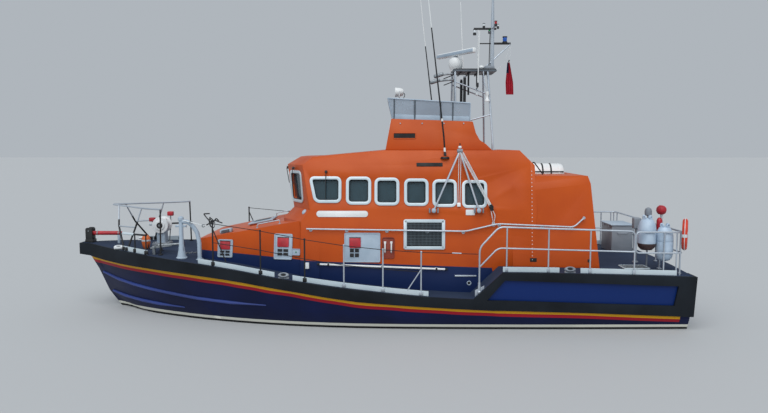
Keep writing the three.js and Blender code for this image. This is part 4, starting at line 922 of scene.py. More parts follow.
top_rail = [(-2.49, 0.78), (-2.49, 1.82), (-2.9, 2.27), (-5.79, 2.18), (-5.79, 1.9)]
parts = [edge_plate(-2.99, -4.2), edge_plate(-4.65, -6.72)]
parts.append(tube("marine_aluminium", aft_line(top_rail), RAIL_RADIUS, 0.1))
middle_rail = [(-2.49, 1.4), (-2.88, 1.815), (-5.79, 1.74)]
parts.append(tube("marine_aluminium", aft_line(middle_rail), POST_RADIUS, 0.09))
for x, top in AFT_POSTS:
    parts.append(tube("marine_aluminium", aft_line([(x, deck_z(x, AFT_RAIL_Y)), (x, top)]), POST_RADIUS))
    foot = (x, AFT_RAIL_Y, deck_z(x, AFT_RAIL_Y) + 0.05)
    parts.append(slab("marine_aluminium", (0.06, 0.05, 0.09), foot, 0.006))
gusset = [(-2.4, 0.72), (-2.4, 0.9), (-2.6, 1.0), (-2.6, 0.72)]
piece = wire(aft_line(gusset))
bpy.ops.mesh.select_all(action="SELECT")
bpy.ops.mesh.edge_face_add()
leave()
modify(piece, "SOLIDIFY", thickness=0.014, offset=0)
parts.append(coat(soften(piece, 0.003, 1), "marine_aluminium"))
heel = [(0, 0.0), (0.045, 0.0), (0.045, 0.03), (0.03, 0.05), (0.028, 0.22), (0.02, 0.225)]
parts.append(spun("marine_aluminium", heel, (-2.49, AFT_RAIL_Y, deck_z(-2.49, AFT_RAIL_Y)), steps=16))
pair("port_aft_rail_tubes", parts, "port_aft_rail")
print("side and aft rails done")

# %% Stern rail
STERN_Y, STERN_FORE, STERN_AFT = 2.235, -5.85, -6.85
STERN_TOP, STERN_LOW = 2.15, 1.7
run = [(STERN_FORE, 1.9), (STERN_FORE, STERN_TOP), (STERN_AFT + 0.06, STERN_TOP)]
under = [(STERN_FORE, 1.9), (STERN_FORE, STERN_LOW), (STERN_AFT + 0.06, STERN_LOW)]
parts = []
for line, radius in ((run, RAIL_RADIUS), (under, POST_RADIUS)):
    parts.append(tube("marine_aluminium", [(x, STERN_Y, z) for x, z in line], radius, 0.07))
for x in (-6.45, -6.72, -6.8):
    post = [(x, STERN_Y, deck_z(x, STERN_Y)), (x, STERN_Y, STERN_TOP)]
    parts.append(tube("marine_aluminium", post, POST_RADIUS))
parts = mirrored_parts(parts)
for z, radius in ((STERN_TOP, RAIL_RADIUS), (STERN_LOW, POST_RADIUS)):
    corner = [(STERN_AFT + 0.12, STERN_Y, z), (STERN_AFT, STERN_Y, z), (STERN_AFT, -STERN_Y, z),
              (STERN_AFT + 0.12, -STERN_Y, z)]
    parts.append(tube("marine_aluminium", corner, radius, 0.09))
for y in (-2.1, -0.75, 0.75, 2.1):
    foot = deck_z(STERN_AFT, y)
    parts.append(tube("marine_aluminium", [(STERN_AFT, y, foot), (STERN_AFT, y, STERN_TOP)], POST_RADIUS))
    parts.append(slab("marine_aluminium", (0.06, 0.06, 0.03), (STERN_AFT, y, foot + 0.015), 0.005))
hand_over("stern_rail_tubes", parts, stands_for=["stern_rail"])

# %% [markdown]
# The bow rail is one hoop of tube from side to side. Its legs are bare alloy above and sleeved in black
# below, where the crew's lines rub.

# %% Bow rail
BOW_TOP = [(4.74, 1.15, 2.52), (5.17, 0.9, 2.515), (6.36, 0.0, 2.54), (5.17, -0.9, 2.515),
           (4.74, -1.15, 2.52)]
parts = [edge_plate(5.75, 5.05)]
legs = [
    [(6.1, 0.197, 2.535), (5.99, 0.52, 2.06), edge_point(5.73, 1.54)],
    [(5.33, 0.779, 2.518), (5.48, 0.8, 2.06), edge_point(5.64, 1.53)],
]
for top, elbow, foot in legs:
    parts.append(tube("marine_aluminium", [top, elbow], POST_RADIUS))
    parts.append(tube("black_coat", [Vector(elbow).lerp(Vector(top), 0.3), elbow, foot], 0.021, 0.03))
    parts.append(socket("black_coat", foot[0]))
parts.append(tube("marine_aluminium", [legs[0][1], legs[1][1]], POST_RADIUS))
parts.append(tube("anodised_frame", [edge_point(x, 1.93) for x in (5.76, 5.6, 5.42)], 0.03))
parts.append(tube("black_coat", [edge_point(x, 1.93) for x in (5.42, 5.2, 5.06)], 0.022))
for x in (5.4, 5.08):
    parts.append(tube("black_coat", [edge_point(x), edge_point(x, 1.93)], POST_RADIUS))
    parts.append(socket("black_coat", x))
after_foot = deck_z(4.76, 1.21)
parts.append(tube("black_coat", [(4.76, 1.21, after_foot), (4.76, 1.145, 2.515)], POST_RADIUS + 0.002))
parts.append(slab("black_coat", (0.08, 0.08, 0.03), (4.76, 1.21, after_foot + 0.015), 0.006))
parts = mirrored_parts(parts) + [tube("marine_aluminium", BOW_TOP, RAIL_RADIUS, 0.1)]
hand_over("bow_rail_tubes", parts, stands_for=["bow_rail"])

# %% Grab rails and side pole
GRAB_RUN = [(1.29, 2.152), (-2.25, 2.105), (-2.95, 2.27), (-4.64, 2.2), (-4.86, 2.4)]
BRACKETS = [1.2, 0.4, -0.5, -1.4, -2.2, -3.0, -3.95, -4.6]
GRAB_OUT = 0.07


def along_run(run, x):
    for (x1, z1), (x0, z0) in zip(run, run[1:]):
        if x0 <= x <= x1:
            return z0 + (z1 - z0) * (x - x0) / (x1 - x0)
    return run[0][1]


def off_side(x, z, out):
    return on_side(x, z)[0] + Vector((0, out, 0))


parts = [tube("marine_aluminium", [off_side(x, z, GRAB_OUT) for x, z in GRAB_RUN], 0.019, 0.08)]
for x in BRACKETS:
    z = along_run(GRAB_RUN, x)
    parts.append(tube("marine_aluminium", [off_side(x, z - 0.03, -0.004), off_side(x, z, GRAB_OUT)], 0.013))
    parts += lay([panel("marine_aluminium", 0.075, 0.075, 0.008, 0.03)], on_side(x, z - 0.03))
knob = [(0, 0.0), (0.03, 0.004), (0.036, 0.02), (0.03, 0.036), (0, 0.04)]
parts.append(spun("marine_aluminium", knob, off_side(-4.86, 2.4, GRAB_OUT - 0.02), TO_PORT, 16))
pair("port_grab_rail_tubes", parts, "port_grab_rail")

ends = [off_side(x, z, 0.055) for x, z in ((1.04, 1.37), (-1.84, 1.262))]
direction = (ends[1] - ends[0]).normalized()
parts = [tube("white_moulding", ends, 0.022, sides=3)]
for start, reach in ((ends[0], 0.05), (ends[1], -0.05)):
    parts.append(tube("soft_rubber", [start - direction * reach * 0.2, start + direction * reach], 0.025))
for share in (0.083, 0.5, 0.917):
    at = ends[0].lerp(ends[1], share)
    point, normal = on_side(at.x, at.z)
    parts.append(tube("marine_aluminium", [point - normal * 0.003, at], 0.012))
    parts.append(tube("black_coat", [at - direction * 0.02, at + direction * 0.02], 0.029))
    parts += lay([panel("marine_aluminium", 0.07, 0.05, 0.006, 0.015)], (point, normal))
hand_over("side_pole_tube", parts, stands_for=["side_pole"])
print("rails and pole done")

# %% [markdown]
# The recovery frame is an A of thin alloy tube that hinges at its feet and swings outboard. Its tackle runs
# from the head to a block on the cabin side. The lines cross the joint, so they are left on neither body.

# %% Recovery frames and tackle
FOOT_Y, FOOT_Z, FEET_X = 1.72, 2.56, (-1.54, -2.54)
HEAD = Vector((-2.12, 1.5716, 3.88))
BLOCK = Vector((-2.81, 1.75, 2.64))

for side_name in ("port", "starboard"):
    side = 1 if side_name == "port" else -1
    flip = Matrix.Diagonal((1, side, 1)).to_3x3()
    body = f"{side_name}_recovery_frame"
    head = flip @ HEAD
    parts = []
    for x in FEET_X:
        foot = flip @ Vector((x, FOOT_Y, FOOT_Z))
        parts.append(tube("marine_aluminium", [foot, head], 0.022))
        half_barrel = Vector((0.049, 0, 0))
        parts.append(tube("marine_aluminium", [foot - half_barrel, foot + half_barrel], 0.03, sides=3))
        round_pad = [(0, -0.01), (0.045, -0.01), (0.055, 0.005), (0.05, 0.03), (0.03, 0.045), (0, 0.048)]
        parts.append(spun("pale_paint", round_pad, foot, (-side * pi / 2, 0, 0), 16))
    half_head = Vector((0.06, 0, 0))
    parts.append(tube("grey_enamel", [head - half_head, head + half_head], 0.045, sides=3))
    bulb = [(0, -0.02), (0.03, -0.015), (0.04, 0.01), (0.03, 0.036), (0, 0.044)]
    parts.append(spun("white_moulding", bulb, head + Vector((0, 0, 0.07)), steps=16))
    parts.append(tube("soft_rubber", [head, head + Vector((0.0, 0.0, 0.17))], 0.012))
    hand_over(f"{side_name}_recovery_frame_tubes", parts, body, [body])

    block = flip @ BLOCK
    for number, (dx, dy) in enumerate(((0.0, 0.0), (0.045, 0.01), (0.085, 0.02), (-0.03, 0.03)), 1):
        top = head + Vector((-0.05 + dx * 0.6, side * dy, -0.03))
        end = block + Vector((dx * 0.5, 0, 0.02))
        middle = top.lerp(end, 0.5)
        line = tube("rope_white", [top, middle, end], 0.008, sides=1)
        line = hand_over(f"{side_name}_tackle_line_{number}", [line], None)
        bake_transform(line)
    for number, dx in enumerate((0.02, -0.025), 1):
        top = head + Vector((dx, side * 0.02, -0.03))
        end = flip @ Vector((-2.1 + dx, 1.655, 2.72))
        line = tube("rope_white", [top, top.lerp(end, 0.5), end], 0.007, sides=1)
        line = hand_over(f"{side_name}_hoist_line_{number}", [line], None)
        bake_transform(line)

parts = []
sheave = [(0, -0.02), (0.045, -0.02), (0.05, -0.012), (0.035, -0.004), (0.035, 0.004), (0.05, 0.012),
          (0.045, 0.02), (0, 0.02)]
parts.append(spun("soft_rubber", sheave, BLOCK, TO_STARBOARD, 16))
for out in (-0.026, 0.026):
    cheek_at = BLOCK + Vector((0, out, -0.01))
    parts.append(slab("soft_rubber", (0.07, 0.008, 0.14), cheek_at, 0.003, turn=(0, 0.3, 0)))
becket_y = on_side(-2.86, 2.5)[0].y + 0.02
becket = [BLOCK + Vector((-0.02, 0, -0.05)), (-2.9, 1.76, 2.45), (-2.87, becket_y, 2.25), (-2.83, 1.77, 2.42),
          BLOCK + Vector((0.01, 0, -0.06))]
parts.append(tube("rope_white", becket, 0.009, 0.05))
parts += lay([panel("marine_aluminium", 0.07, 0.09, 0.01, 0.02)], on_side(-2.87, 2.25))
parts += lay([slab("white_moulding", (0.08, 0.05, 0.09), (0, 0.025, 0), 0.01)], on_side(-2.1, 2.68))
for x in FEET_X:
    for reach in (-0.092, 0.092):
        parts.append(slab("grey_enamel", (0.03, 0.13, 0.1), (x + reach, FOOT_Y - 0.02, FOOT_Z), 0.008))
pair("port_tackle_block", parts)
print("recovery gear done")

# %% [markdown]
# Above the roof stand the whip aerials, the mast with its lamps and radar, the searchlight, and the clear
# sheets round the upper steering position. All are thin or small, so tubes and spun bodies do most of the
# work. The radar bar is a long moulding with round edges on a spun gearbox.

# %% Whip aerials
AERIAL_AT = Vector((-1.8, 1.44, 3.8))
SLEEVE = [(0, 0.0, 0.019), (0.03, 0.4, 0.019), (0.19, 1.72, 0.016), (0.32, 2.79, 0.013)]
TIP = [(0.32, 2.79, 0.011), (0.39, 3.39, 0.01), (0.48, 4.25, 0.008)]
for side_name in ("port", "starboard"):
    side = 1 if side_name == "port" else -1
    base = Vector((AERIAL_AT.x, side * AERIAL_AT.y, AERIAL_AT.z))
    whip = []
    for finish_name, table in (("whip_black", SLEEVE), ("white_moulding", TIP)):
        points = [base + Vector((x, 0, z)) for x, z, _ in table]
        whip.append(tube(finish_name, points, [size for _, _, size in table]))
    collar = [(0, 0.06), (0.025, 0.06), (0.025, 0.13), (0.021, 0.15), (0, 0.15)]
    whip.append(spun("white_moulding", collar, base, (0, 0.07, 0), 16))
    ferrule = [(0, 0.74), (0.024, 0.74), (0.024, 0.8), (0, 0.8)]
    whip.append(spun("white_moulding", ferrule, base, (0, 0.09, 0), 12))
    whip.append(tube("marine_aluminium", [base - Vector((0, 0.025, 0)), base + Vector((0, 0.025, 0))], 0.022))
    hand_over(f"{side_name}_whip", whip, f"{side_name}_aerial", [f"{side_name}_aerial"])
    bell = spun("black_coat", [(0, -0.1), (0.1, -0.1), (0.102, -0.08), (0.085, -0.055), (0, -0.045)], base)
    ears = [slab("black_coat", (0.055, 0.034, 0.1), base + Vector((0, out, -0.012)), 0.008)
            for out in (-0.042, 0.042)]
    hand_over(f"{side_name}_whip_mount", [bell] + ears)

# %% Radar scanner
RADAR_AT = Vector((-2.15, 0, 6.15))
RADAR_TURN = radians(-60)
bar = slab("white_moulding", (1.54, 0.11, 0.12), RADAR_AT + Vector((0, 0, 0.06)), 0.035, 4,
           (0, 0, RADAR_TURN))
face = slab("pale_paint", (1.5, 0.02, 0.075),
            RADAR_AT + Matrix.Rotation(RADAR_TURN, 3, "Z") @ Vector((0, 0.053, 0.06)),
            0.008, 2, (0, 0, RADAR_TURN))
neck = spun("grey_enamel",
            [(0, -0.029), (0.05, -0.029), (0.05, -0.005), (0.035, 0.0), (0.035, 0.03), (0, 0.03)], RADAR_AT)
hand_over("radar_scanner_bar", [bar, face, neck], "radar_scanner", ["radar_scanner"])

# %% Mast, platform and lamps
PLATFORM_Z, MAST_X, ROOF = 5.74, -3.03, 3.892
parts = [slab("mast_grey", (1.02, 0.9, 0.045), (-2.57, 0, PLATFORM_Z + 0.0225), 0.01)]
rim = [(-2.08, 0.43), (-3.06, 0.43), (-3.06, -0.43), (-2.08, -0.43)]
parts.append(tube("black_coat", [(x, y, PLATFORM_Z + 0.05) for x, y in rim], 0.02, 0.06, closed=True))
for x in (-2.24, -2.45, -2.66, -2.87):
    parts.append(slab("black_coat", (0.03, 0.84, 0.04), (x, 0, PLATFORM_Z - 0.015), 0.006))
legs = [
    [(-2.1, 0.42, 5.75), (-2.1, 0.64, ROOF)],
    [(-2.87, 0.42, 5.75), (-2.97, 0.8, ROOF)],
]
struts = [
    [(-2.1, 0.56, 4.5), (-2.925, 0.64, 4.72)],
    [(-2.1, 0.45, 5.5), (-2.88, 0.46, 5.2)],
]
side_parts = [tube("marine_aluminium", line, 0.024, sides=3) for line in legs]
side_parts += [tube("marine_aluminium", line, 0.016) for line in struts]
for line in legs:
    x, y, z = line[1]
    side_parts.append(spun("marine_aluminium", [(0, 0.02), (0.03, 0.018), (0.06, 0.012), (0.06, 0)],
                           (x, y, ROOF), steps=16))
side_parts.append(tube("grey_enamel", [(-2.33, 0.4, 5.63), (-2.33, 0.4, 4.93)], 0.03, sides=3))
side_parts.append(tube("whip_black", [(-2.33, 0.4, 5.6), (-2.33, 0.4, 4.96)], 0.034, sides=3))
parts += mirrored_parts(side_parts)
parts.append(tube("marine_aluminium", [(-2.1, -0.6, 4.5), (-2.1, 0.6, 4.5)], 0.014))
pole = [(MAST_X, 0, PLATFORM_Z), (MAST_X, 0, 7.0), (MAST_X, 0, 7.9)]
parts.append(tube("marine_aluminium", pole, [0.05, 0.04, 0.018]))
parts.append(spun("marine_aluminium", [(0, 0.09), (0.045, 0.08), (0.06, 0.02), (0.09, 0.0)],
                  (MAST_X, 0, PLATFORM_Z + 0.045)))
# Columns: start, end, radius and finish of each arm
ARMS = [
    ((MAST_X, -0.52, 6.8), (MAST_X, 0.52, 6.8), 0.02, "marine_aluminium"),
    ((-2.58, 0, 6.8), (-3.12, 0, 6.8), 0.026, "black_coat"),
    ((-2.72, 0, 6.45), (MAST_X, 0, 6.45), 0.014, "black_coat"),
    ((MAST_X, 0, 6.45), (-3.47, 0, 6.45), 0.026, "black_coat"),
    ((-2.77, 0.03, 5.8), (-3.46, 0, 6.43), 0.017, "marine_aluminium"),
]
for start, end, radius, finish_name in ARMS:
    parts.append(tube(finish_name, [start, end], radius))
gearbox = [(0, 0), (0.125, 0.0), (0.13, 0.05), (0.155, 0.09), (0.17, 0.15), (0.172, 0.22), (0.155, 0.28),
           (0.09, 0.325), (0.05, 0.337), (0, 0.338)]
parts.append(spun("white_moulding", gearbox, (RADAR_AT.x, 0, 5.783), steps=32))
parts.append(slab("grey_enamel", (0.3, 0.24, 0.14), (-2.9, -0.25, PLATFORM_Z + 0.11), 0.02))
parts.append(slab("grey_enamel", (0.22, 0.2, 0.1), (-2.93, 0.27, PLATFORM_Z + 0.09), 0.02))
parts.append(tube("whip_black", [(-2.43, 0.3, 5.8), (-2.43, 0.3, 5.2)], 0.022))
# Two floodlights reach forward from the platform on thin arms
for y, z, reach in ((0.12, 5.72, 0.42), (0.3, 5.56, 0.52)):
    arm = [(-2.09, y, z), (-2.09 + reach * 0.5, y + 0.03, z - 0.02), (-2.09 + reach, y + 0.02, z - 0.06)]
    parts.append(tube("galvanised", arm, 0.022, 0.05))
    parts.append(slab("galvanised", (0.24, 0.12, 0.09), (arm[2][0] - 0.06, y + 0.02, z - 0.04), 0.03, 3,
                      (0, 0.3, 0)))
    stay = [(-2.1, y, z), (-2.1, y * 0.4, z - 0.02), (-1.85, y * 0.4 + 0.06, z - 0.12)]
    parts.append(tube("black_coat", stay, 0.011, 0.03))
# A deck lamp hangs in front of the after leg, and a small one under the whip's foot
shade = [(0, 0.12), (0.04, 0.115), (0.045, 0.06), (0.03, 0.02), (0.035, -0.04), (0.06, -0.09), (0.058, -0.11),
         (0, -0.115)]
parts.append(spun("white_moulding", shade, (-2.84, 0.6, 5.14), steps=20))
lamp_arm = [(-2.84, 0.6, 5.25), (-2.78, 0.56, 5.45), (-2.76, 0.47, 5.74)]
parts.append(tube("marine_aluminium", lamp_arm, 0.012, 0.05))
parts.append(tube("marine_aluminium", [(-2.61, 0.5, 5.36), (-2.61, 0.5, 5.24)], 0.007))
parts.append(spun("lens_clear", [(0, 0.05), (0.03, 0.04), (0.036, 0.0), (0.025, -0.03), (0, -0.04)],
                  (-2.61, 0.5, 5.2), steps=16))
parts.append(tube("black_coat", [(-2.61, 0.5, 5.38), (-2.61, 0.43, 5.4), (-2.61, 0.42, 5.74)], 0.014, 0.03))
# Columns: x, y and z of the lamp's middle, its radius and its lens
LAMPS = [
    (-3.33, 0, 6.5, 0.062, "lens_blue"),
    (-3.16, 0, 6.86, 0.028, "lens_clear"),
    (-2.6, 0, 6.71, 0.04, "lens_clear"),
    (-2.82, 0, 6.87, 0.032, "lens_clear"),
    (MAST_X, 0.52, 6.83, 0.035, "lens_red"),
    (MAST_X, -0.52, 6.83, 0.035, "lens_green"),
]
for x, y, z, size, lens in LAMPS:
    cup = [(0, -0.06), (size, -0.06), (size, -0.01), (size * 0.8, 0.0)]
    glass = [(size * 0.8, 0.0), (size * 0.85, size), (size * 0.75, size * 1.5)]
    crown = [(size * 0.75, size * 1.5), (size, size * 1.55), (size * 0.9, size * 1.9), (0, size * 2.0)]
    for finish_name, profile in (("black_coat", cup), (lens, glass), ("black_coat", crown)):
        closed = [(0, profile[0][1])] + profile + [(0, profile[-1][1])]
        parts.append(spun(finish_name, closed, (x, y, z), steps=16))
# The thin whips stand on short arms, clear of the scanner's sweep
THIN_WHIPS = [
    [(-2.61, 0.66, 5.36), (-2.62, 0.66, 5.9), (-2.64, 0.66, 6.64)],
    [(-2.42, -0.8, 5.79), (-2.39, -0.8, 6.4), (-2.33, -0.8, 7.6)],
    [(-2.75, -0.54, 5.79), (-2.75, -0.54, 6.2), (-2.76, -0.54, 6.9)],
]
for line in THIN_WHIPS:
    parts.append(tube("white_moulding", line, [0.013, 0.012, 0.009]))
    x, y, z = line[0]
    parts.append(tube("black_coat", [(x, 0.43 if y > 0 else -0.42, z - 0.03), (x, y, z + 0.01)], 0.014))
    cap = [(0, 0), (0.022, 0), (0.022, 0.08), (0.012, 0.1), (0, 0.1)]
    parts.append(spun("black_coat", cap, line[0], steps=12))
ball = [(0, -0.05), (0.05, -0.045), (0.075, 0.0), (0.05, 0.045), (0, 0.06)]
parts.append(spun("white_moulding", ball, (-2.75, 0.15, PLATFORM_Z + 0.12), steps=20))
for run in (
    [(-2.97, 0.03, 6.75), (-2.955, 0.045, 6.2), (-2.95, 0.04, 5.8)],
    [(-2.85, 0.40, 5.72), (-2.9, 0.5, 5.3), (-2.945, 0.68, 4.5), (-2.95, 0.775, ROOF + 0.01)],
    [(-2.08, 0.4, 5.72), (-2.075, 0.5, 5.1), (-2.08, 0.6, 4.2), (-2.08, 0.66, ROOF + 0.01)],
):
    parts.append(tube("soft_rubber", run, 0.011, 0.05, sides=1))
hand_over("radar_mast_tubes", parts, stands_for=["radar_mast"])
print("mast done")

# %% Searchlight
LIGHT_AT = Vector((-0.78, 0.38, 5.26))
drum = [(0, -0.1), (0.06, -0.098), (0.085, -0.07), (0.1, -0.02), (0.108, 0.07), (0.113, 0.09), (0.108, 0.1),
        (0.098, 0.088)]
lens = [(0.098, 0.088), (0.06, 0.098), (0, 0.1)]
parts = [spun("white_moulding", drum + [(0, 0.088)], LIGHT_AT, TO_BOW, 28),
         spun("lens_clear", [(0, 0.085)] + lens, LIGHT_AT, TO_BOW, 28)]
yoke = [LIGHT_AT + Vector((0, y, z))
        for y, z in ((-0.122, 0.02), (-0.122, -0.13), (0.122, -0.13), (0.122, 0.02))]
parts.append(tube("white_enamel", yoke, 0.013, 0.04))
parts.append(tube("white_enamel", [LIGHT_AT - Vector((0, 0, 0.13)), (-0.78, 0.38, 4.5)], 0.026, sides=3))
parts.append(slab("white_enamel", (0.1, 0.1, 0.12), LIGHT_AT - Vector((0, 0, 0.19)), 0.02, 3))
parts.append(slab("black_coat", (0.05, 0.08, 0.1), LIGHT_AT - Vector((0.03, -0.02, 0.27)), 0.015, 3))
parts.append(slab("white_enamel", (0.16, 0.12, 0.03), (-0.76, 0.38, 4.485), 0.008))
parts.append(tube("soft_rubber", [LIGHT_AT - Vector((0.09, 0, 0)), LIGHT_AT - Vector((0.14, 0, 0.06)),
                                  (-0.83, 0.38, 5.0), (-0.81, 0.38, 4.52)], 0.009, 0.03, sides=1))
hand_over("searchlight_lamp", parts, stands_for=["searchlight"])

# %% [markdown]
# The sheets round the upper steering position are clear plastic that has gone milky, held in a light frame of
# tube. The frame is drawn over the CAD sheet: a rail along its upper edge and an upright at each seam.

# %% Upper steering position
DODGER_LOW, DODGER_HIGH = (-0.625, 1.022, 4.61), (-0.515, 1.062, 5.075)
AFT_LOW, AFT_HIGH = (-2.395, 1.022, 4.552), (-2.395, 1.054, 4.962)


def on_dodger(x, high):
    low_end, high_end = (DODGER_HIGH, AFT_HIGH) if high else (DODGER_LOW, AFT_LOW)
    share = (x - low_end[0]) / (high_end[0] - low_end[0])
    return tuple(a + (b - a) * share for a, b in zip(low_end, high_end))


side_parts = [tube("pale_paint", [AFT_LOW, AFT_HIGH], 0.013)]
for x, radius in ((-0.66, 0.016), (-1.13, 0.022), (-1.72, 0.016), (-2.0, 0.018)):
    side_parts.append(tube("mast_grey", [on_dodger(x, False), on_dodger(x, True)], radius))
band_low, band_high = [Vector(on_dodger(x, False)) for x in (-0.66, -2.38)]
run = band_high - band_low
sill = slab("pale_paint", (run.length, 0.012, 0.11), (0, 0, 0), 0.004)
sill_at = (band_low + band_high) / 2 + Vector((0, 0.006, 0.05))
sill.matrix_world = Matrix.Translation(sill_at) @ Matrix.Rotation(atan2(run.z, -run.x), 4, "Y")
side_parts.append(bake_place(sill))
side_parts.append(tube("pale_paint", [DODGER_LOW, DODGER_HIGH], 0.014))
side_parts.append(tube("pale_paint", [(-0.625, 0.35, 4.62), (-0.515, 0.35, 5.075)], 0.01))
for x in (-0.8, -1.3, -1.8, -2.25):
    point, _ = meet("bridge_coaming", (x, 3, 4.5), (0, -1, 0))
    side_parts.append(spun("marine_aluminium", [(0, 0.02), (0.012, 0.016), (0.018, 0)], point, TO_PORT, 10))
parts = mirrored_parts(side_parts)
upper_rail = [AFT_HIGH, DODGER_HIGH, (DODGER_HIGH[0], -DODGER_HIGH[1], DODGER_HIGH[2]),
              (AFT_HIGH[0], -AFT_HIGH[1], AFT_HIGH[2])]
parts.append(tube("pale_paint", upper_rail, 0.016, 0.08))
hand_over("dodger_frame", parts)

# The slot is a black panel in an orange frame: painted shade for the dark opening
parts = [
    panel("soft_rubber", 0.5, 0.12, 0.006, 0.02),
    panel("orange_gloss", 0.53, 0.15, 0.014, 0.03, 0.02, 0.004),
]
pair("port_bridge_slot", lay(parts, meet("bridge_coaming", (-0.895, 3, 4.22), (0, -1, 0))))
strip_points = [meet("bridge_coaming", (5, 0.98, z), (-1, 0, 0)) for z in (4.24, 4.56)]
(low_spot, normal), (high_spot, _) = strip_points
strip = panel("white_enamel", 0.07, (high_spot - low_spot).length, 0.012, 0.01, 0, 0.003)
pair("port_bridge_strip", [against(strip, low_spot.lerp(high_spot, 0.5), normal, -0.002)])

chart = slab("console_black", (0.03, 0.42, 0.2), (-0.955, 0, 4.5), 0.01, turn=(0, 0.98, 0))
wheel_rim = [(0.15 * cos(k * pi / 8), 0.15 * sin(k * pi / 8)) for k in range(16)]
ring = tube("console_black", [(-1.05, y, 4.35 + z) for y, z in wheel_rim], 0.011, closed=True)
spokes = [tube("marine_aluminium", [(-1.05, 0, 4.35), (-1.05, y, 4.35 + z)], 0.008)
          for y, z in wheel_rim[::4]]
spokes.append(tube("marine_aluminium", [(-1.05, 0, 4.35), (-0.99, 0, 4.35)], 0.02))
rail = tube("marine_aluminium",
            [(-0.86, -0.28, 4.555), (-0.86, -0.28, 4.63), (-0.86, 0.28, 4.63), (-0.86, 0.28, 4.555)],
            0.012, 0.04)
hand_over("bridge_instruments", [chart, ring, rail] + spokes)
print("upper steering position done")

# %% [markdown]
# The liferaft lies fore and aft in a well. Its canister is two white shells that meet at a black seam and are
# held by straps. The shell is half a capsule's profile spun about the canister's own axis.

# %% Liferaft canister
RAFT_AT = Vector((-4.36, 0, 3.3))
shell = [(0, -0.44), (0.16, -0.438), (0.215, -0.422), (0.247, -0.385), (0.26, -0.32), (0.26, 0.32),
         (0.247, 0.385), (0.215, 0.422), (0.16, 0.438), (0, 0.44)]
parts = [spun("white_moulding", shell, RAFT_AT, TO_BOW, 40)]
parts.append(slab("soft_rubber", (0.8, 0.532, 0.03), RAFT_AT + Vector((0, 0, 0.065)), 0.012))
for x in (-0.29, -0.1, 0.1, 0.29):
    hoop = [(0.258, -0.018), (0.266, -0.018), (0.266, 0.018), (0.258, 0.018)]
    parts.append(spun("soft_rubber" if abs(x) < 0.2 else "white_moulding", hoop + [hoop[0]],
                      RAFT_AT + Vector((x, 0, 0)), TO_BOW, 40))
hand_over("liferaft_shells", parts, stands_for=["liferaft_canister"])
parts = []
for x in (-4.58, -4.14):
    cradle = [(x, -0.3, 3.17), (x, -0.27, 3.07), (x, 0, 3.04), (x, 0.27, 3.07), (x, 0.3, 3.17)]
    parts.append(tube("marine_aluminium", cradle, 0.016, 0.05))
hand_over("liferaft_cradle", parts)
slope_bar = [(-3.84, 0.9, 3.56), (-3.9, 0.9, 3.62), (-4.11, 0.9, 3.34), (-4.1, 0.9, 3.26)]
hand_over("slope_bars", mirrored_parts([tube("black_coat", slope_bar, 0.014, 0.03)]))
print("liferaft done")

# %% [markdown]
# Two half-round spray rails run back from the stem and throw the bow wave down. They are moulded on and
# painted a lighter blue, so they show as two pale lines on the dark bow. Each is a tube laid on the hull,
# half sunk in it.

# %% Spray rails
# Columns: the rail's x and z from its after end to the stem
SPRAY_RAILS = [
    [(2.17, 0.478), (3.0, 0.49), (3.8, 0.52), (4.5, 0.572), (5.1, 0.62), (5.6, 0.672), (6.1, 0.745),
     (6.58, 0.86)],
    [(4.2, 0.25), (4.9, 0.262), (5.4, 0.28), (5.95, 0.325), (6.35, 0.39)],
]
for number, run in enumerate(SPRAY_RAILS, 1):
    points = [meet("hull", (x, 5, z), (0, -1, 0))[0] for x, z in run]
    ends = [0.012] + [0.04] * (len(points) - 2) + [0.03]
    pair(f"port_spray_rail_{number}", [tube("strake_blue", points, ends, sides=3)])
print("spray rails:", 2 * len(SPRAY_RAILS))

# %% [markdown]
# The foredeck gear is black, galvanised or pale painted. Castings and machined parts are spun from their
# profiles, brackets are blocks with rounded edges, and pipes are tubes bent as a pipe bender bends them.

# %% Bow roller, windlass and anchor
cheek = [panel("black_coat", 0.17, 0.36, 0.03, 0.05, 0, 0.006, at=(6.925, 0, 1.78)) for _ in range(2)]
for piece, y in zip(cheek, (0.07, -0.1)):
    piece.location.y = y
groove = [(0, -0.068), (0.06, -0.068), (0.06, -0.055), (0.03, 0), (0.06, 0.055), (0.06, 0.068), (0, 0.068)]
parts = cheek + [
    spun("soft_rubber", groove, (6.93, 0, 1.88), TO_STARBOARD),
    tube("galvanised", [(6.93, -0.112, 1.88), (6.93, 0.112, 1.88)], 0.014),
    slab("black_coat", (0.2, 0.22, 0.09), (6.92, 0, 1.625), 0.01),
    slab("black_coat", (0.11, 0.14, 0.1), (6.89, 0, 1.72), 0.02),
    slab("pale_paint", (0.06, 0.06, 0.24), (6.21, 0, 1.68), 0.01),
]
lead = [(0, -0.385), (0.032, -0.38), (0.046, -0.36), (0.05, -0.335), (0.05, 0.33), (0.046, 0.36), (0, 0.365)]
parts.append(spun("red_enamel", lead, (6.51, 0, 1.82), TO_BOW))
for x in (6.21, 6.74):
    clip = [(0.048, -0.012), (0.055, -0.012), (0.055, 0.012), (0.048, 0.012), (0.048, -0.012)]
    parts.append(spun("galvanised", clip, (x, 0, 1.82), TO_BOW))
hand_over("bow_roller_fittings", parts, stands_for=["bow_roller"])

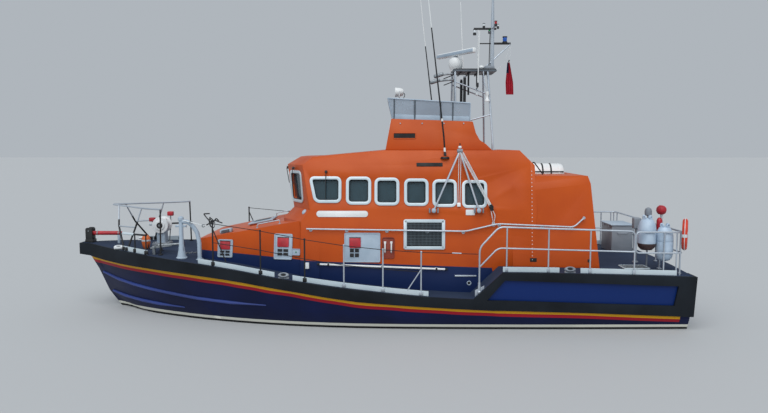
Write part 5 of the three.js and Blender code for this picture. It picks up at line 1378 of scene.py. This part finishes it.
WINDLASS_AT = Vector((5.12, 0, 2.03))
base_z = deck_z(5.12, 0)
drum = [(0, -0.19), (0.11, -0.19), (0.125, -0.17), (0.195, -0.165), (0.2, -0.15), (0.195, -0.135),
        (0.135, -0.115), (0.125, 0), (0.135, 0.115), (0.195, 0.135), (0.2, 0.15), (0.195, 0.165),
        (0.125, 0.17), (0.11, 0.19), (0, 0.19)]
parts = [
    spun("white_enamel", drum, WINDLASS_AT, TO_STARBOARD, 32),
    slab("grey_enamel", (0.4, 0.4, 0.09), (5.12, 0, base_z + 0.045), 0.02),
    slab("pale_paint", (0.22, 0.24, 0.38), (5.12, 0, base_z + 0.24), 0.035, 3),
    slab("white_enamel", (0.24, 0.1, 0.2), (5.14, -0.06, 2.1), 0.04, 3),
    spun("soft_rubber", [(0, 0.19), (0.07, 0.19), (0.075, 0.196), (0, 0.197)], WINDLASS_AT, TO_PORT),
    spun("galvanised", [(0, 0.19), (0.03, 0.19), (0.028, 0.215), (0, 0.22)], WINDLASS_AT, TO_PORT, 6),
]
for y in (-0.075, -0.045, -0.015, 0.015, 0.045, 0.075):
    at = WINDLASS_AT + Vector((0, y, 0))
    parts.append(torus("rope_white", at, (pi / 2 + 0.05, 0, 0), 0.138, 0.015, 32))
for x, y in ((0.16, 0.16), (-0.16, 0.16), (0.16, -0.16), (-0.16, -0.16)):
    stud = [(0, 0.025), (0.016, 0.025), (0.018, 0.0), (0, 0.0)]
    parts.append(spun("galvanised", stud, (5.12 + x, y, base_z + 0.09), steps=6))
parts.append(tube("galvanised", [(5.24, 0, 2.0), (5.3, 0, 2.03), (5.37, 0, 2.12)], 0.012, 0.02))
parts.append(slab("red_enamel", (0.15, 0.1, 0.1), (5.36, 0, 2.16), 0.02, 3))
box_post = [(5.0, -0.16, base_z + 0.08), (5.0, -0.3, 2.0), (5.0, -0.3, 2.25)]
parts.append(tube("galvanised", box_post, 0.014, 0.05))
parts.append(slab("red_enamel", (0.15, 0.1, 0.11), (5.0, -0.3, 2.28), 0.02))
hand_over("windlass_drum", parts, stands_for=["windlass"])

finished_copy("anchor", "galvanised", 0.005)
CHAIN_LINKS = 9
parts = []
for k in range(CHAIN_LINKS):
    x, y = 4.27 - 0.045 * k, 0.9 - 0.03 * k
    turn = (pi / 2 * (k % 2) * 0.8, 0, 0.6)
    at = (x, y, deck_z(x, y) + 0.014)
    parts.append(torus("galvanised", at, turn, 0.024, 0.006, 12, 6, (1.4, 0.9, 1)))
hand_over("anchor_chain", parts)
print("foredeck machinery done")

# %% Mooring post, buoy and fairleads
POST_AT = Vector((4.215, 1.37, 0))
foot = deck_z(POST_AT.x, POST_AT.y)
post = [(0, foot - 0.01), (0.125, foot - 0.01), (0.125, foot + 0.015), (0.105, foot + 0.03), (0.088, 1.53),
        (0.06, 1.7), (0.05, 1.88), (0.048, 2.28), (0.062, 2.29), (0.068, 2.32), (0.062, 2.36), (0.035, 2.385),
        (0, 2.39)]
parts = [spun("pale_paint", post, POST_AT, steps=28)]
for k in range(4):
    turn = k * pi / 2 + pi / 4
    gusset_at = POST_AT + Vector((0, 0, foot + 0.13))
    parts.append(slab("pale_paint", (0.012, 0.16, 0.24), gusset_at, 0.004, 2, (0, 0, turn)))
parts.append(tube("pale_paint", [POST_AT + Vector((x, 0, 2.16)) for x in (-0.11, 0.11)], 0.022))
for x in (-0.115, 0.115):
    knob = [(0, -0.015), (0.024, -0.012), (0.03, 0), (0.024, 0.012), (0, 0.015)]
    parts.append(spun("pale_paint", knob, POST_AT + Vector((x, 0, 2.16)), TO_BOW, 12))
arch = [(4.215, 1.37, 2.27), (4.06, 1.37, 2.26), (3.95, 1.372, 2.17), (3.85, 1.38, 2.03), (3.8, 1.39, 1.8),
        (3.79, 1.41, deck_z(3.79, 1.41))]
parts.append(tube("pale_paint", arch, 0.05, 0.05, sides=4))
flange = [(0, -0.01), (0.085, -0.01), (0.085, 0.012), (0.055, 0.02), (0.052, 0.05), (0, 0.05)]
parts.append(spun("pale_paint", flange, (3.79, 1.41, deck_z(3.79, 1.41)), steps=20))
hand_over("mooring_post_parts", parts, stands_for=["mooring_post"])

buoy = [(0, 1.51), (0.05, 1.514), (0.08, 1.56), (0.098, 1.64), (0.105, 1.72), (0.1, 1.77), (0.075, 1.82),
        (0.05, 1.845), (0.02, 1.85), (0.02, 1.87), (0, 1.872)]
parts = [spun("buoy_orange", buoy, (5.33, 0.56, 0)),
         spun("silver_tape", [(0.1055, 1.7), (0.1065, 1.7), (0.1065, 1.74), (0.1055, 1.74), (0.1055, 1.7)],
              (5.33, 0.56, 0)),
         tube("soft_rubber",
              [(5.33, 0.56, 1.85), (5.3, 0.58, 1.88), (5.27, 0.62, 1.7),
               (5.24, 0.64, deck_z(5.24, 0.64) + 0.01),
                              (5.16, 0.6, deck_z(5.16, 0.6) + 0.012)], 0.008, 0.02)]
hand_over("anchor_buoy_body", parts, stands_for=["anchor_buoy"])

for number, (x, lean) in enumerate(((5.9, 0.5), (1.74, 1.0), (-4.43, 1.0)), 1):
    oval = [(0.032, -0.02), (0.07, -0.02), (0.072, 0.0), (0.06, 0.025), (0.042, 0.028), (0.032, 0.01),
            (0.032, -0.02)]
    ring = spun("white_enamel" if number == 1 else "grey_enamel", oval)
    hole = spun("soft_rubber", [(0, -0.01), (0.034, -0.01), (0.034, -0.004), (0, -0.004)])
    spread = Matrix.Diagonal((1.7, 0.85, 1, 1))
    rise = 0.03 + 0.05 * lean
    middle = edge_point(x, deck_z(x, edge_y(x)) + rise)
    place = Matrix.Translation(middle) @ Matrix.Rotation(-lean, 4, "X") @ spread
    for piece in (ring, hole):
        piece.matrix_world = place
    foot = edge_point(x, deck_z(x, edge_y(x)) + 0.012, 0.02)
    base = slab("white_enamel" if number == 1 else "grey_enamel", (0.24, 0.06, 0.04), foot, 0.01)
    pair(f"port_fairlead_{number}", [ring, hole, base])
print("mooring gear done")

# %% [markdown]
# A boathook, a coil and a line hang at the foremost stanchions, black against the dark deck. The line from
# the post is pulled straight, with one ring in it.

# %% Line and gear at the stanchions
ring_at = Vector((3.62, 1.66, 2.205))
line = [POST_AT + Vector((-0.05, 0.03, 2.3)), Vector((3.9, 1.5, 2.25)), ring_at,
        Vector(edge_point(3.36, 2.2, 0.02))]
parts = [tube("rope_white", line, 0.011, 0.03)]
for at in (ring_at, Vector((3.95, 1.48, 2.255))):
    parts.append(torus("galvanised", at, (pi / 2, 0.3, 0.4), 0.03, 0.009))
gear = [
    [edge_point(3.36, 2.28), edge_point(3.5, 2.42, 0.02), edge_point(3.56, 2.49, 0.03),
     edge_point(3.42, 2.5, 0.03)],
    [edge_point(3.34, 2.3), edge_point(3.26, 2.4, 0.03), edge_point(3.2, 2.35, 0.02)],
    [edge_point(3.5, 2.24, 0.03), edge_point(3.3, 2.36, 0.02), edge_point(3.12, 2.3, 0.03)],
]
for run in gear:
    parts.append(tube("black_coat", run, 0.014, 0.02))
for k in range(3):
    at = edge_point(3.35 + 0.03 * k, 2.27 + 0.03 * k, 0.03)
    parts.append(torus("soft_rubber", at, (pi / 2, 0, 0.7 * k), 0.07, 0.009, 28, 6, (0.7, 1.25, 1)))
hand_over("stanchion_gear", parts)

# %% [markdown]
# The coachroof has two grab handles, a flat hatch and a low vent. The side of the cabin has a riveted seam, a
# hinge bar, a small port and a wiper on the foremost window.

# %% Coachroof and cabin details
low, high = [meet("wheelhouse", (x, 1.3, 5), (0, 0, -1))[0] - Vector((0, 0, 0.005)) for x in (2.48, 1.96)]
lift = Vector((0, 0, 0.09))
parts = [tube("marine_aluminium", [low, low + lift, high + lift, high], 0.013, 0.03)]
for spot in (low, high):
    foot = [(0, 0.018), (0.02, 0.016), (0.034, 0.006), (0.034, 0)]
    parts.append(spun("marine_aluminium", foot, spot, steps=16))
pair("port_coachroof_handle", parts)

ROOF_TILT = 0.19
spot, _ = meet("wheelhouse", (3.28, 0.95, 5), (0, 0, -1))
parts = [slab("pale_paint", (0.28, 0.2, 0.1), spot + Vector((0, 0, 0.045)), 0.03, 3, (0, ROOF_TILT, 0))]
# The four slots are black strips: painted shade for the openings of the vent
for k in range(4):
    slot_at = spot + Vector((0, 0.1, 0.02 + 0.018 * k))
    parts.append(slab("soft_rubber", (0.2, 0.006, 0.012), slot_at, 0.002, 1, (0, ROOF_TILT, 0)))
hand_over("coachroof_vent", parts)

lid_spot, _ = meet("foredeck_hatch", (2.6, 0, 5), (0, 0, -1))
parts = [slab("dark_slats", (0.4, 0.4, 0.01), lid_spot + Vector((0, 0, 0.003)), 0.004, 2, (0, ROOF_TILT, 0))]
for y in (-0.16, 0.16):
    parts.append(slab("marine_aluminium", (0.05, 0.03, 0.03), lid_spot + Vector((-0.26, y, 0.06)), 0.008))
handle = [lid_spot + Vector((0.25, y, z))
          for y, z in ((-0.06, -0.05), (-0.06, -0.01), (0.06, -0.01), (0.06, -0.05))]
parts.append(tube("marine_aluminium", handle, 0.008, 0.015))
hand_over("foredeck_hatch_fittings", parts, "foredeck_hatch")

SEAM_RIVETS, SEAM_FOOT, SEAM_STEP = 24, 1.47, 0.085
rivet = [(0, 0.009), (0.008, 0.007), (0.011, 0.0), (0.011, -0.004), (0, -0.004)]
parts = []
for k in range(SEAM_RIVETS):
    point, normal = meet("aft_casing", (CASING_X - 0.03, 5, SEAM_FOOT + SEAM_STEP * k), (0, -1, 0))
    if point is None or point.y < 1.2:
        continue
    parts.append(against(spun("white_enamel", rivet, turn=TO_PORT, steps=8), point, normal))
pair("port_seam_rivets", parts)

pane = [(0, 0.0), (0.036, 0.0), (0.036, 0.006), (0, 0.008)]
rim = [(0.034, -0.004), (0.05, -0.004), (0.05, 0.008), (0.042, 0.014), (0.034, 0.01), (0.034, -0.004)]
parts = lay([slab("marine_aluminium", (0.48, 0.024, 0.035), (0, 0.008, 0), 0.006)], on_side(-2.25, 1.11), 0)
parts += lay([spun("soft_rubber", pane, turn=TO_PORT), spun("pale_paint", rim, turn=TO_PORT)],
             on_side(-2.328, 0.951), 0)
pair("port_cabin_foot_fittings", parts)

boss = [(0, 0.035), (0.03, 0.035), (0.05, 0.028), (0.064, 0.012), (0.066, -0.01), (0, -0.01)]
pair("port_chamfer_fitting", lay([spun("pale_paint", boss, turn=TO_PORT)], on_side(1.37, 2.5), 0))

pivot, normal = wall_through(0.866, 3.41, 2.69)
pivot += normal * 0.012
hub = spun("black_coat", [(0, 0.05), (0.028, 0.045), (0.034, 0.0), (0, 0.0)], turn=TO_PORT)
parts = [against(hub, pivot, normal)]
blade_mid, _ = wall_through(0.866, 2.98, 2.69)
blade_mid += normal * 0.06
parts.append(tube("black_coat", [pivot + normal * 0.03, pivot + normal * 0.055, blade_mid], 0.009, 0.02))
blade_ends = [wall_through(0.866, z, 2.69)[0] + normal * 0.038 for z in (3.2, 2.8)]
parts.append(tube("soft_rubber", blade_ends, 0.01))
pair("port_side_wiper", parts)
print("cabin details done")

# %% [markdown]
# The aft deck carries two tall white fenders in the rail, a ring lifebuoy over the stern rail, a grey chest
# and a deck grating. The fenders are air-filled vinyl: round shoulders, moulded eyes on the crown and a seam
# round the middle. The buoy has four bands of tape and a grab line.

# %% Fenders and lifebuoy
# Columns: name, x, y, z of the middle, radius, height, dark heel height, node
TALL_FENDERS = [
    ("forward_fender_body", -6.15, 2.02, 2.11, 0.195, 0.73, 0.14, "forward_hanging_fender"),
    ("after_fender_body", -6.53, 2.033, 1.90, 0.185, 0.80, 0.0, "after_hanging_fender"),
]
for name, x, y, z, radius, height, heel, node in TALL_FENDERS:
    low, high = -height / 2, height / 2
    body = [
        (0, low + 0.012), (radius * 0.3, low), (radius * 0.62, low + 0.02), (radius * 0.88, low + 0.07),
        (radius * 0.985, low + 0.15), (radius, low + 0.25), (radius, low + 0.42),
        (radius * 0.985, low + 0.425), (radius * 0.985, low + 0.433), (radius, low + 0.438),
        (radius * 0.995, high - 0.32), (radius * 0.95, high - 0.23), (radius * 0.82, high - 0.14),
        (radius * 0.62, high - 0.075), (radius * 0.38, high - 0.045), (0, high - 0.04),
    ]
    parts = [spun("fender_vinyl", body, (x, y, z), steps=40)]
    if heel:
        cup = [(0, low - 0.002), (radius * 0.6, low - 0.002), (radius * 0.9, low + 0.06),
               (radius * 0.99, low + heel),
               (radius * 0.97, low + heel), (0, low + heel)]
        parts.append(spun("rubbed_rubber", cup, (x, y, z), steps=40))
    for k in range(4):
        turn = k * pi / 2 + 0.5
        eye = Vector((x + radius * 0.46 * cos(turn), y + radius * 0.46 * sin(turn), z + high - 0.028))
        parts.append(torus("fender_vinyl", eye, (pi / 2, 0, turn + pi / 2), 0.034, 0.017))
        web_at = eye - Vector((0, 0, 0.035))
        parts.append(slab("fender_vinyl", (0.03, 0.075, 0.05), web_at, 0.012, 2, (0, 0, turn)))
    hand_over(name, parts, stands_for=[node])

RING_AT = Vector((-6.9412, 2.0954, 2.09))
RING_RADIUS, RING_TUBE = 0.29, 0.055
RING_TURN = radians(-24)
RING_ACROSS = Vector((-sin(RING_TURN), cos(RING_TURN), 0))


def ring_body(finish_name, tube_radius):
    return bake_place(torus(finish_name, RING_AT, (0, pi / 2, RING_TURN), RING_RADIUS, tube_radius, 64, 20))


def in_band(face):
    spot = face.calc_center_median() - RING_AT
    turn = (atan2(spot.z, spot.dot(RING_ACROSS)) + pi / 4) % (pi / 2)
    return abs(turn - pi / 4) < 0.13


tape = ring_body("silver_tape", RING_TUBE + 0.002)
edit(tape)
pick("faces", lambda face: not in_band(face))
bpy.ops.mesh.delete(type="FACE")
leave()
modify(tape, "SOLIDIFY", thickness=0.003, offset=-1)
grab = []
for k in range(16):
    reach = RING_RADIUS + RING_TUBE + (0.004 if k % 4 == 0 else 0.028)
    turn = k * pi / 8
    grab.append(RING_AT + RING_ACROSS * reach * cos(turn) + Vector((0, 0, reach * sin(turn))))
parts = [ring_body("lifebuoy_red", RING_TUBE), tape, tube("rope_white", grab, 0.007, 0.03, closed=True)]
hand_over("lifebuoy_ring", parts, stands_for=["lifebuoy"])

# %% Chest, grating and small gear aft
LOCKER_X, LOCKER_Y, LOCKER_TOP = (-6.74, -6.2), (-1.35, -0.5), 1.975
middle = Vector((sum(LOCKER_X) / 2, sum(LOCKER_Y) / 2, LOCKER_TOP))
parts = [slab("pale_paint", (0.6, 0.91, 0.03), middle + Vector((0, 0, 0.006)), 0.01)]
for y in (-1.15, -0.7):
    latch_at = (LOCKER_X[1] + 0.006, y, LOCKER_TOP - 0.04)
    parts.append(slab("marine_aluminium", (0.02, 0.05, 0.08), latch_at, 0.005))
handle = [(LOCKER_X[0] + along, LOCKER_Y[1] + out, 1.78)
          for along, out in ((0.15, 0.005), (0.15, 0.04), (0.39, 0.04), (0.39, 0.005))]
parts.append(tube("marine_aluminium", handle, 0.01, 0.02))
hand_over("locker_fittings", parts)

GRATE_X, GRATE_Y = -6.04, 1.62
GRATE_BARS, GRATE_RUNGS = 9, 6
grate_z = deck_z(GRATE_X, GRATE_Y)
parts = []
for k in range(GRATE_BARS):
    at = (GRATE_X + 0.26 - 0.065 * k, GRATE_Y, grate_z + 0.02)
    parts.append(slab("galvanised", (0.014, 0.4, 0.025), at, 0.003, 1))
for k in range(GRATE_RUNGS):
    at = (GRATE_X, GRATE_Y - 0.18 + 0.072 * k, grate_z + 0.02)
    parts.append(slab("galvanised", (0.54, 0.012, 0.022), at, 0.003, 1))
rim = [(GRATE_X + x, GRATE_Y + y, grate_z + 0.02)
       for x, y in ((0.28, -0.21), (-0.28, -0.21), (-0.28, 0.21), (0.28, 0.21))]
parts.append(tube("anodised_frame", rim, 0.014, 0.03, closed=True))
hand_over("deck_grating", parts)

parts = []
post_foot = deck_z(-6.3, 0.95)
parts.append(tube("grey_enamel", [(-6.3, 0.95, post_foot), (-6.3, 0.95, 2.28)], 0.03, sides=3))
parts.append(slab("grey_enamel", (0.17, 0.16, 0.26), (-6.3, 0.95, 2.2), 0.03, 3))
parts.append(spun("grey_enamel", [(0, 0), (0.07, 0), (0.07, 0.02), (0.035, 0.04), (0, 0.04)],
                  (-6.3, 0.95, post_foot), steps=20))
hand_over("stern_hose_post", parts)
MARKER_AT = Vector((-6.6, 1.62, deck_z(-6.6, 1.62)))
bottle = [(0, -0.15), (0.05, -0.15), (0.062, -0.13), (0.062, 0.1), (0.045, 0.14), (0.02, 0.16), (0, 0.16)]
roll = [(0, -0.1), (0.07, -0.09), (0.1, -0.05), (0.105, 0.0), (0.1, 0.05), (0.06, 0.09), (0, 0.095)]
parts = [
    spun("red_enamel", bottle, (MARKER_AT.x + 0.03, MARKER_AT.y, 2.24), steps=24),
    tube("marine_aluminium", [MARKER_AT, (MARKER_AT.x, MARKER_AT.y, 2.5)], 0.018),
    spun("red_enamel", roll, (MARKER_AT.x, MARKER_AT.y, 2.57), (0, pi / 2 - 0.15, 0), 24),
    slab("marine_aluminium", (0.09, 0.09, 0.02), MARKER_AT + Vector((0, 0, 0.008)), 0.006),
    tube("rope_white", [(MARKER_AT.x - 0.03, MARKER_AT.y, 2.5), (MARKER_AT.x - 0.04, MARKER_AT.y + 0.03, 2.2),
                        (MARKER_AT.x - 0.02, MARKER_AT.y + 0.02, 1.9)], 0.008, 0.03),
]
hand_over("stern_marker_post", parts)
parts = [tube("grey_enamel", [(-6.36, 1.5, deck_z(-6.36, 1.5)), (-6.36, 1.5, 2.45)], 0.02)]
dome = [(0, 0.0), (0.055, 0.0), (0.075, 0.02), (0.08, 0.1), (0.06, 0.16), (0.02, 0.185), (0, 0.187)]
parts.append(spun("grey_enamel", dome, (-6.36, 1.5, 2.43), steps=24))
hand_over("stern_lamp_post", parts)
print("aft deck gear done")

# %% [markdown]
# The watertight door at the aft end hangs on two hinges and is shut by lever handles. Each lever is a short
# tube on a spun boss. The levers, straps and grab rail ride on the door, and the hinge knuckles stay on the
# casing.

# %% Aft door fittings
DOOR_MIDDLE, DOOR_HALF = -0.15, 0.375


def on_door(y, z):
    return meet("aft_door", (-9, y, z), (1, 0, 0))


parts = []
for z in (1.65, 2.25, 2.85):
    point, normal = on_door(DOOR_MIDDLE + DOOR_HALF - 0.09, z)
    boss = [(0, 0.035), (0.02, 0.035), (0.026, 0.01), (0.034, 0.0), (0, 0.0)]
    parts.append(against(spun("galvanised", boss, turn=TO_PORT, steps=16), point, normal))
    root = point + normal * 0.03
    lever = [root, root + Vector((-0.01, -0.05, 0.02)), root + Vector((-0.012, -0.15, 0.05))]
    parts.append(tube("galvanised", lever, 0.011))
for z in (1.75, 2.7):
    strap = panel("marine_aluminium", 0.22, 0.06, 0.012, 0.02, 0, 0.003)
    parts += lay([strap], on_door(DOOR_MIDDLE - DOOR_HALF + 0.13, z))
port_place = on_door(DOOR_MIDDLE, 2.62)
parts += lay([panel("tinted_glass", 0.26, 0.26, 0.006, 0.12)], port_place, -0.001)
parts += lay([panel("anodised_frame", 0.32, 0.32, 0.02, 0.155, 0.045, 0.005)], port_place)
grip = [on_door(DOOR_MIDDLE + 0.12, z)[0] for z in (1.9, 2.3)]
out = Vector((-0.055, 0, 0))
parts.append(tube("marine_aluminium", [grip[0], grip[0] + out, grip[1] + out, grip[1]], 0.012, 0.02))
hand_over("aft_door_fittings", parts, "aft_door", slot="galvanised_steel")
print("door fittings:", len(parts))

# %% [markdown]
# Inside, dark seats, a wheel and a console show through the glass. A crew seat is a foam cushion and a back
# in woven cloth on a turned pedestal. The pads are simulated: a slightly small block is remeshed, blown up as
# cloth, and capped so that it stays in its place. One cushion and one back are made, and every seat gets
# copies.

# %% Seats
SEATS = [
    ("port_front_seat", 0.35, 0.62), ("starboard_front_seat", 0.35, -0.62),
    ("port_rear_seat", -1.25, 0.72), ("starboard_rear_seat", -1.25, -0.72),
]
SOLE_Z = 1.8
PAD_VOXEL = 0.012
PAD_SWELL = 0.014
PAD_FRAMES = 20


def pad(name, size):
    """A foam block in cloth that bulges between its edges."""
    piece = slab("seat_cloth", size, (0, 0, 0), 0.022, 3)
    piece.name = name
    piece.data.remesh_voxel_size = PAD_VOXEL
    only(piece)
    bpy.ops.object.voxel_remesh()
    start = [vertex.co.copy() for vertex in piece.data.vertices]
    cloth = piece.modifiers.new("Cloth", "CLOTH")
    cloth.settings.use_pressure = True
    cloth.settings.uniform_pressure_force = 4
    cloth.settings.effector_weights.gravity = 0
    for step in range(1, PAD_FRAMES + 1):
        bpy.context.scene.frame_set(step)
    only(piece)
    bpy.ops.object.modifier_apply(modifier="Cloth")
    for vertex, before in zip(piece.data.vertices, start):
        shift = vertex.co - before
        if shift.length > PAD_SWELL:
            vertex.co = before + shift.normalized() * PAD_SWELL
    bpy.context.scene.frame_set(1)
    modify(piece, "SUBSURF", levels=1, render_levels=1)
    return coat(piece, "seat_cloth")


def welt(half_x, half_y, corner, place):
    """The piped seam round the edge of a pad."""
    outline = [(half_x, half_y), (-half_x, half_y), (-half_x, -half_y), (half_x, -half_y)]
    piece = tube("console_black", [(x, y, 0) for x, y in outline], 0.005, corner, closed=True)
    piece.matrix_world = place
    return bake_place(piece)


cushion = pad("cushion_pattern", (0.44, 0.44, 0.085))
back = pad("back_pattern", (0.44, 0.68, 0.075))
BACK_LEAN = 0.096
for name, x, y in SEATS:
    cushion_place = Matrix.Translation((x, y, SOLE_Z + 0.446))
    back_place = Matrix.Translation((x - 0.218, y, SOLE_Z + 0.79)) @ Matrix.Rotation(-BACK_LEAN, 4, "Y")
    back_place = back_place @ Matrix.Rotation(pi / 2, 4, "Z") @ Matrix.Rotation(pi / 2, 4, "X")
    for pattern, place, part in ((cushion, cushion_place, "cushion"), (back, back_place, "back")):
        only(pattern)
        bpy.ops.object.duplicate()
        copy = bpy.context.object
        copy.matrix_world = place
        hand_over(f"{name}_{part}", [copy])
    column = [(0, 0.0), (0.15, 0.0), (0.15, 0.018), (0.09, 0.03), (0.06, 0.06), (0.055, 0.36), (0.075, 0.375),
              (0.16, 0.38), (0.16, 0.392), (0, 0.392)]
    parts = [spun("grey_enamel", column, (x, y, SOLE_Z))]
    shell_at = (x - 0.262, y, SOLE_Z + 0.74)
    parts.append(slab("console_black", (0.02, 0.36, 0.5), shell_at, 0.008, 2, (0, -BACK_LEAN, 0)))
    parts.append(slab("grey_enamel", (0.04, 0.1, 0.3), (x - 0.245, y, SOLE_Z + 0.46), 0.01))
    parts.append(slab("grey_enamel", (0.2, 0.1, 0.025), (x - 0.16, y, SOLE_Z + 0.378), 0.008))
    parts.append(welt(0.222, 0.222, 0.05, cushion_place))
    parts.append(welt(0.222, 0.342, 0.05, back_place))
    hand_over(f"{name}_frame", parts, stands_for=[name])
for pattern in (cushion, back):
    bpy.data.objects.remove(pattern)
print("seats:", len(SEATS))

# %% Helm wheel and console
HELM_AT = Vector((0.645, -0.62, 2.28))
parts = [torus("console_black", HELM_AT, TO_BOW, 0.19, 0.015, 48, 12)]
for k in range(3):
    turn = pi / 2 + k * 2 * pi / 3
    end = HELM_AT + Vector((0, 0.185 * cos(turn), 0.185 * sin(turn)))
    parts.append(tube("marine_aluminium", [HELM_AT, end], 0.009))
hub = [(0, -0.035), (0.034, -0.035), (0.04, -0.028), (0.04, 0.028), (0.034, 0.035), (0, 0.035)]
parts.append(spun("marine_aluminium", hub, HELM_AT, TO_BOW, 24))
hand_over("helm_wheel_rim", parts, "helm_wheel", ["helm_wheel"])

parts = []
# Columns: y and z of the middle of a screen or panel, width and height, finish
CONSOLE_PANELS = [
    (-0.8, 2.48, 0.3, 0.2, "tinted_glass"), (-0.45, 2.48, 0.3, 0.2, "tinted_glass"),
    (0.0, 2.48, 0.3, 0.2, "tinted_glass"), (0.45, 2.48, 0.3, 0.2, "tinted_glass"),
    (0.85, 2.48, 0.3, 0.2, "tinted_glass"), (0.22, 2.2, 0.3, 0.12, "grey_enamel"),
    (0.7, 2.2, 0.4, 0.12, "grey_enamel"),
]
for y, z, width, height, finish_name in CONSOLE_PANELS:
    screen = panel(finish_name, width, height, 0.01, 0.015)
    surround = panel("grey_enamel", width + 0.03, height + 0.03, 0.018, 0.02, 0.02)
    parts += lay([screen, surround], meet("helm_console", (-2, y, z), (1, 0, 0)))
for y in (0.16, 0.24, 0.32):
    spot, _ = meet("helm_console", (0.76, y, 4), (0, 0, -1))
    parts.append(tube("galvanised", [spot, spot + Vector((-0.02, 0, 0.09))], 0.007))
    knob = [(0, -0.018), (0.014, -0.014), (0.018, 0), (0.014, 0.014), (0, 0.018)]
    parts.append(spun("red_enamel", knob, spot + Vector((-0.02, 0, 0.1)), steps=16))
hand_over("console_instruments", parts, slot="black_plastic")
print("helm done")

# %% [markdown]
# The ensign hangs limp from the gaff on its halyard. It is a sheet of bunting about 0.5 m on the hoist and
# 0.77 m long that has fallen into soft pleats. Each level of the sheet is a wave whose depth is found so that
# the cloth keeps its width, and the pleats drift a little from level to level. The cloth is plain red with a
# dark blue corner.

# %% Ensign
FLAG_X, FLAG_TOP = -3.475, 6.0
FLAG_WIDE, FLAG_LONG = 0.5, 0.77
FLAG_WAVES = 4
WAVE_STEPS = 200
ACROSS, DOWN = 96, 26


def wave_depth(spread):
    """Depth of a sine wave that takes up the cloth's width within the spread."""
    low, high = 0.0, 0.2
    for _ in range(30):
        depth = (low + high) / 2
        heights = [depth * sin(2 * pi * FLAG_WAVES * k / WAVE_STEPS) for k in range(WAVE_STEPS + 1)]
        length = sum(((spread / WAVE_STEPS) ** 2 + (b - a) ** 2) ** 0.5 for a, b in zip(heights, heights[1:]))
        low, high = (depth, high) if length < FLAG_WIDE else (low, depth)
    return (low + high) / 2


material, tree, shader, place, tone = finish(
    "ensign_bunting", "red_bunting", "#C2203A", "#A91A30", (0.8, 0.92), patch=0.3, grain=0.003, bump=0.0006)
uv = add_node(tree, "ShaderNodeUVMap").outputs["UV"]
split = add_node(tree, "ShaderNodeSeparateXYZ", {0: uv})
corner = math(tree, "MULTIPLY", between(tree, split.outputs["X"], 0.5, 0.49),
              between(tree, split.outputs["Y"], 0.66, 0.67))
tree.links.new(mix(tree, corner, tone, linear("#1B2450")), shader.inputs["Base Color"])

bpy.ops.mesh.primitive_grid_add(x_subdivisions=ACROSS, y_subdivisions=DOWN, size=1)
flag = bpy.context.object
for vertex in flag.data.vertices:
    across, down = vertex.co.x + 0.5, 0.5 - vertex.co.y
    spread = 0.06 + 0.125 * min(1, down * 1.6) - 0.03 * max(0, down - 0.85)
    phase = 2 * pi * FLAG_WAVES * across + 1.1 * sin(2.2 * down)
    vertex.co = (
        FLAG_X + 0.05 - 0.1 * down * 0.4 + (0.5 - across) * spread,
        wave_depth(round(spread, 3)) * sin(phase) * (0.9 + 0.1 * sin(5 * across + 3 * down)),
        FLAG_TOP - FLAG_LONG * down,
    )
edit(flag)
bpy.ops.mesh.normals_make_consistent(inside=False)
leave()
flag = hand_over("ensign_cloth", [coat(flag, "ensign_bunting")], stands_for=["ensign"], angle=80)
halyard = [(FLAG_X - 0.005, 0, 6.44), (FLAG_X + 0.005, 0, 6.2), (FLAG_X + 0.045, 0, FLAG_TOP + 0.01),
           (FLAG_X + 0.05, 0, 5.985)]
parts = [tube("rope_white", halyard, 0.005, sides=1)]
fall = [(FLAG_X - 0.01, 0, 6.44), (-3.3, 0, 5.95), (-3.07, 0.0, 5.78)]
parts.append(tube("rope_white", fall, 0.004, sides=1))
toggle = [(FLAG_X + 0.03, 0, FLAG_TOP + 0.06), (FLAG_X + 0.047, 0, FLAG_TOP + 0.01)]
parts.append(tube("console_black", toggle, 0.014))
hand_over("ensign_halyard", parts)
print("ensign hung")

# %% [markdown]
# Zinc anodes sit on the bottom ahead of the bronze screws, to waste away in place of them. They are small
# cast blocks with round edges.

# %% Anodes
ANODES_X = (-4.6, -3.4)
parts = []
for x in ANODES_X:
    lump = slab("zinc", (0.3, 0.05, 0.1), (0, 0.02, 0), 0.018, 3)
    parts += lay([lump], meet("hull", (x, 0.62, -4), (0, 0, 1)), 0)
pair("port_anodes", parts)
print("anodes:", 2 * len(ANODES_X))
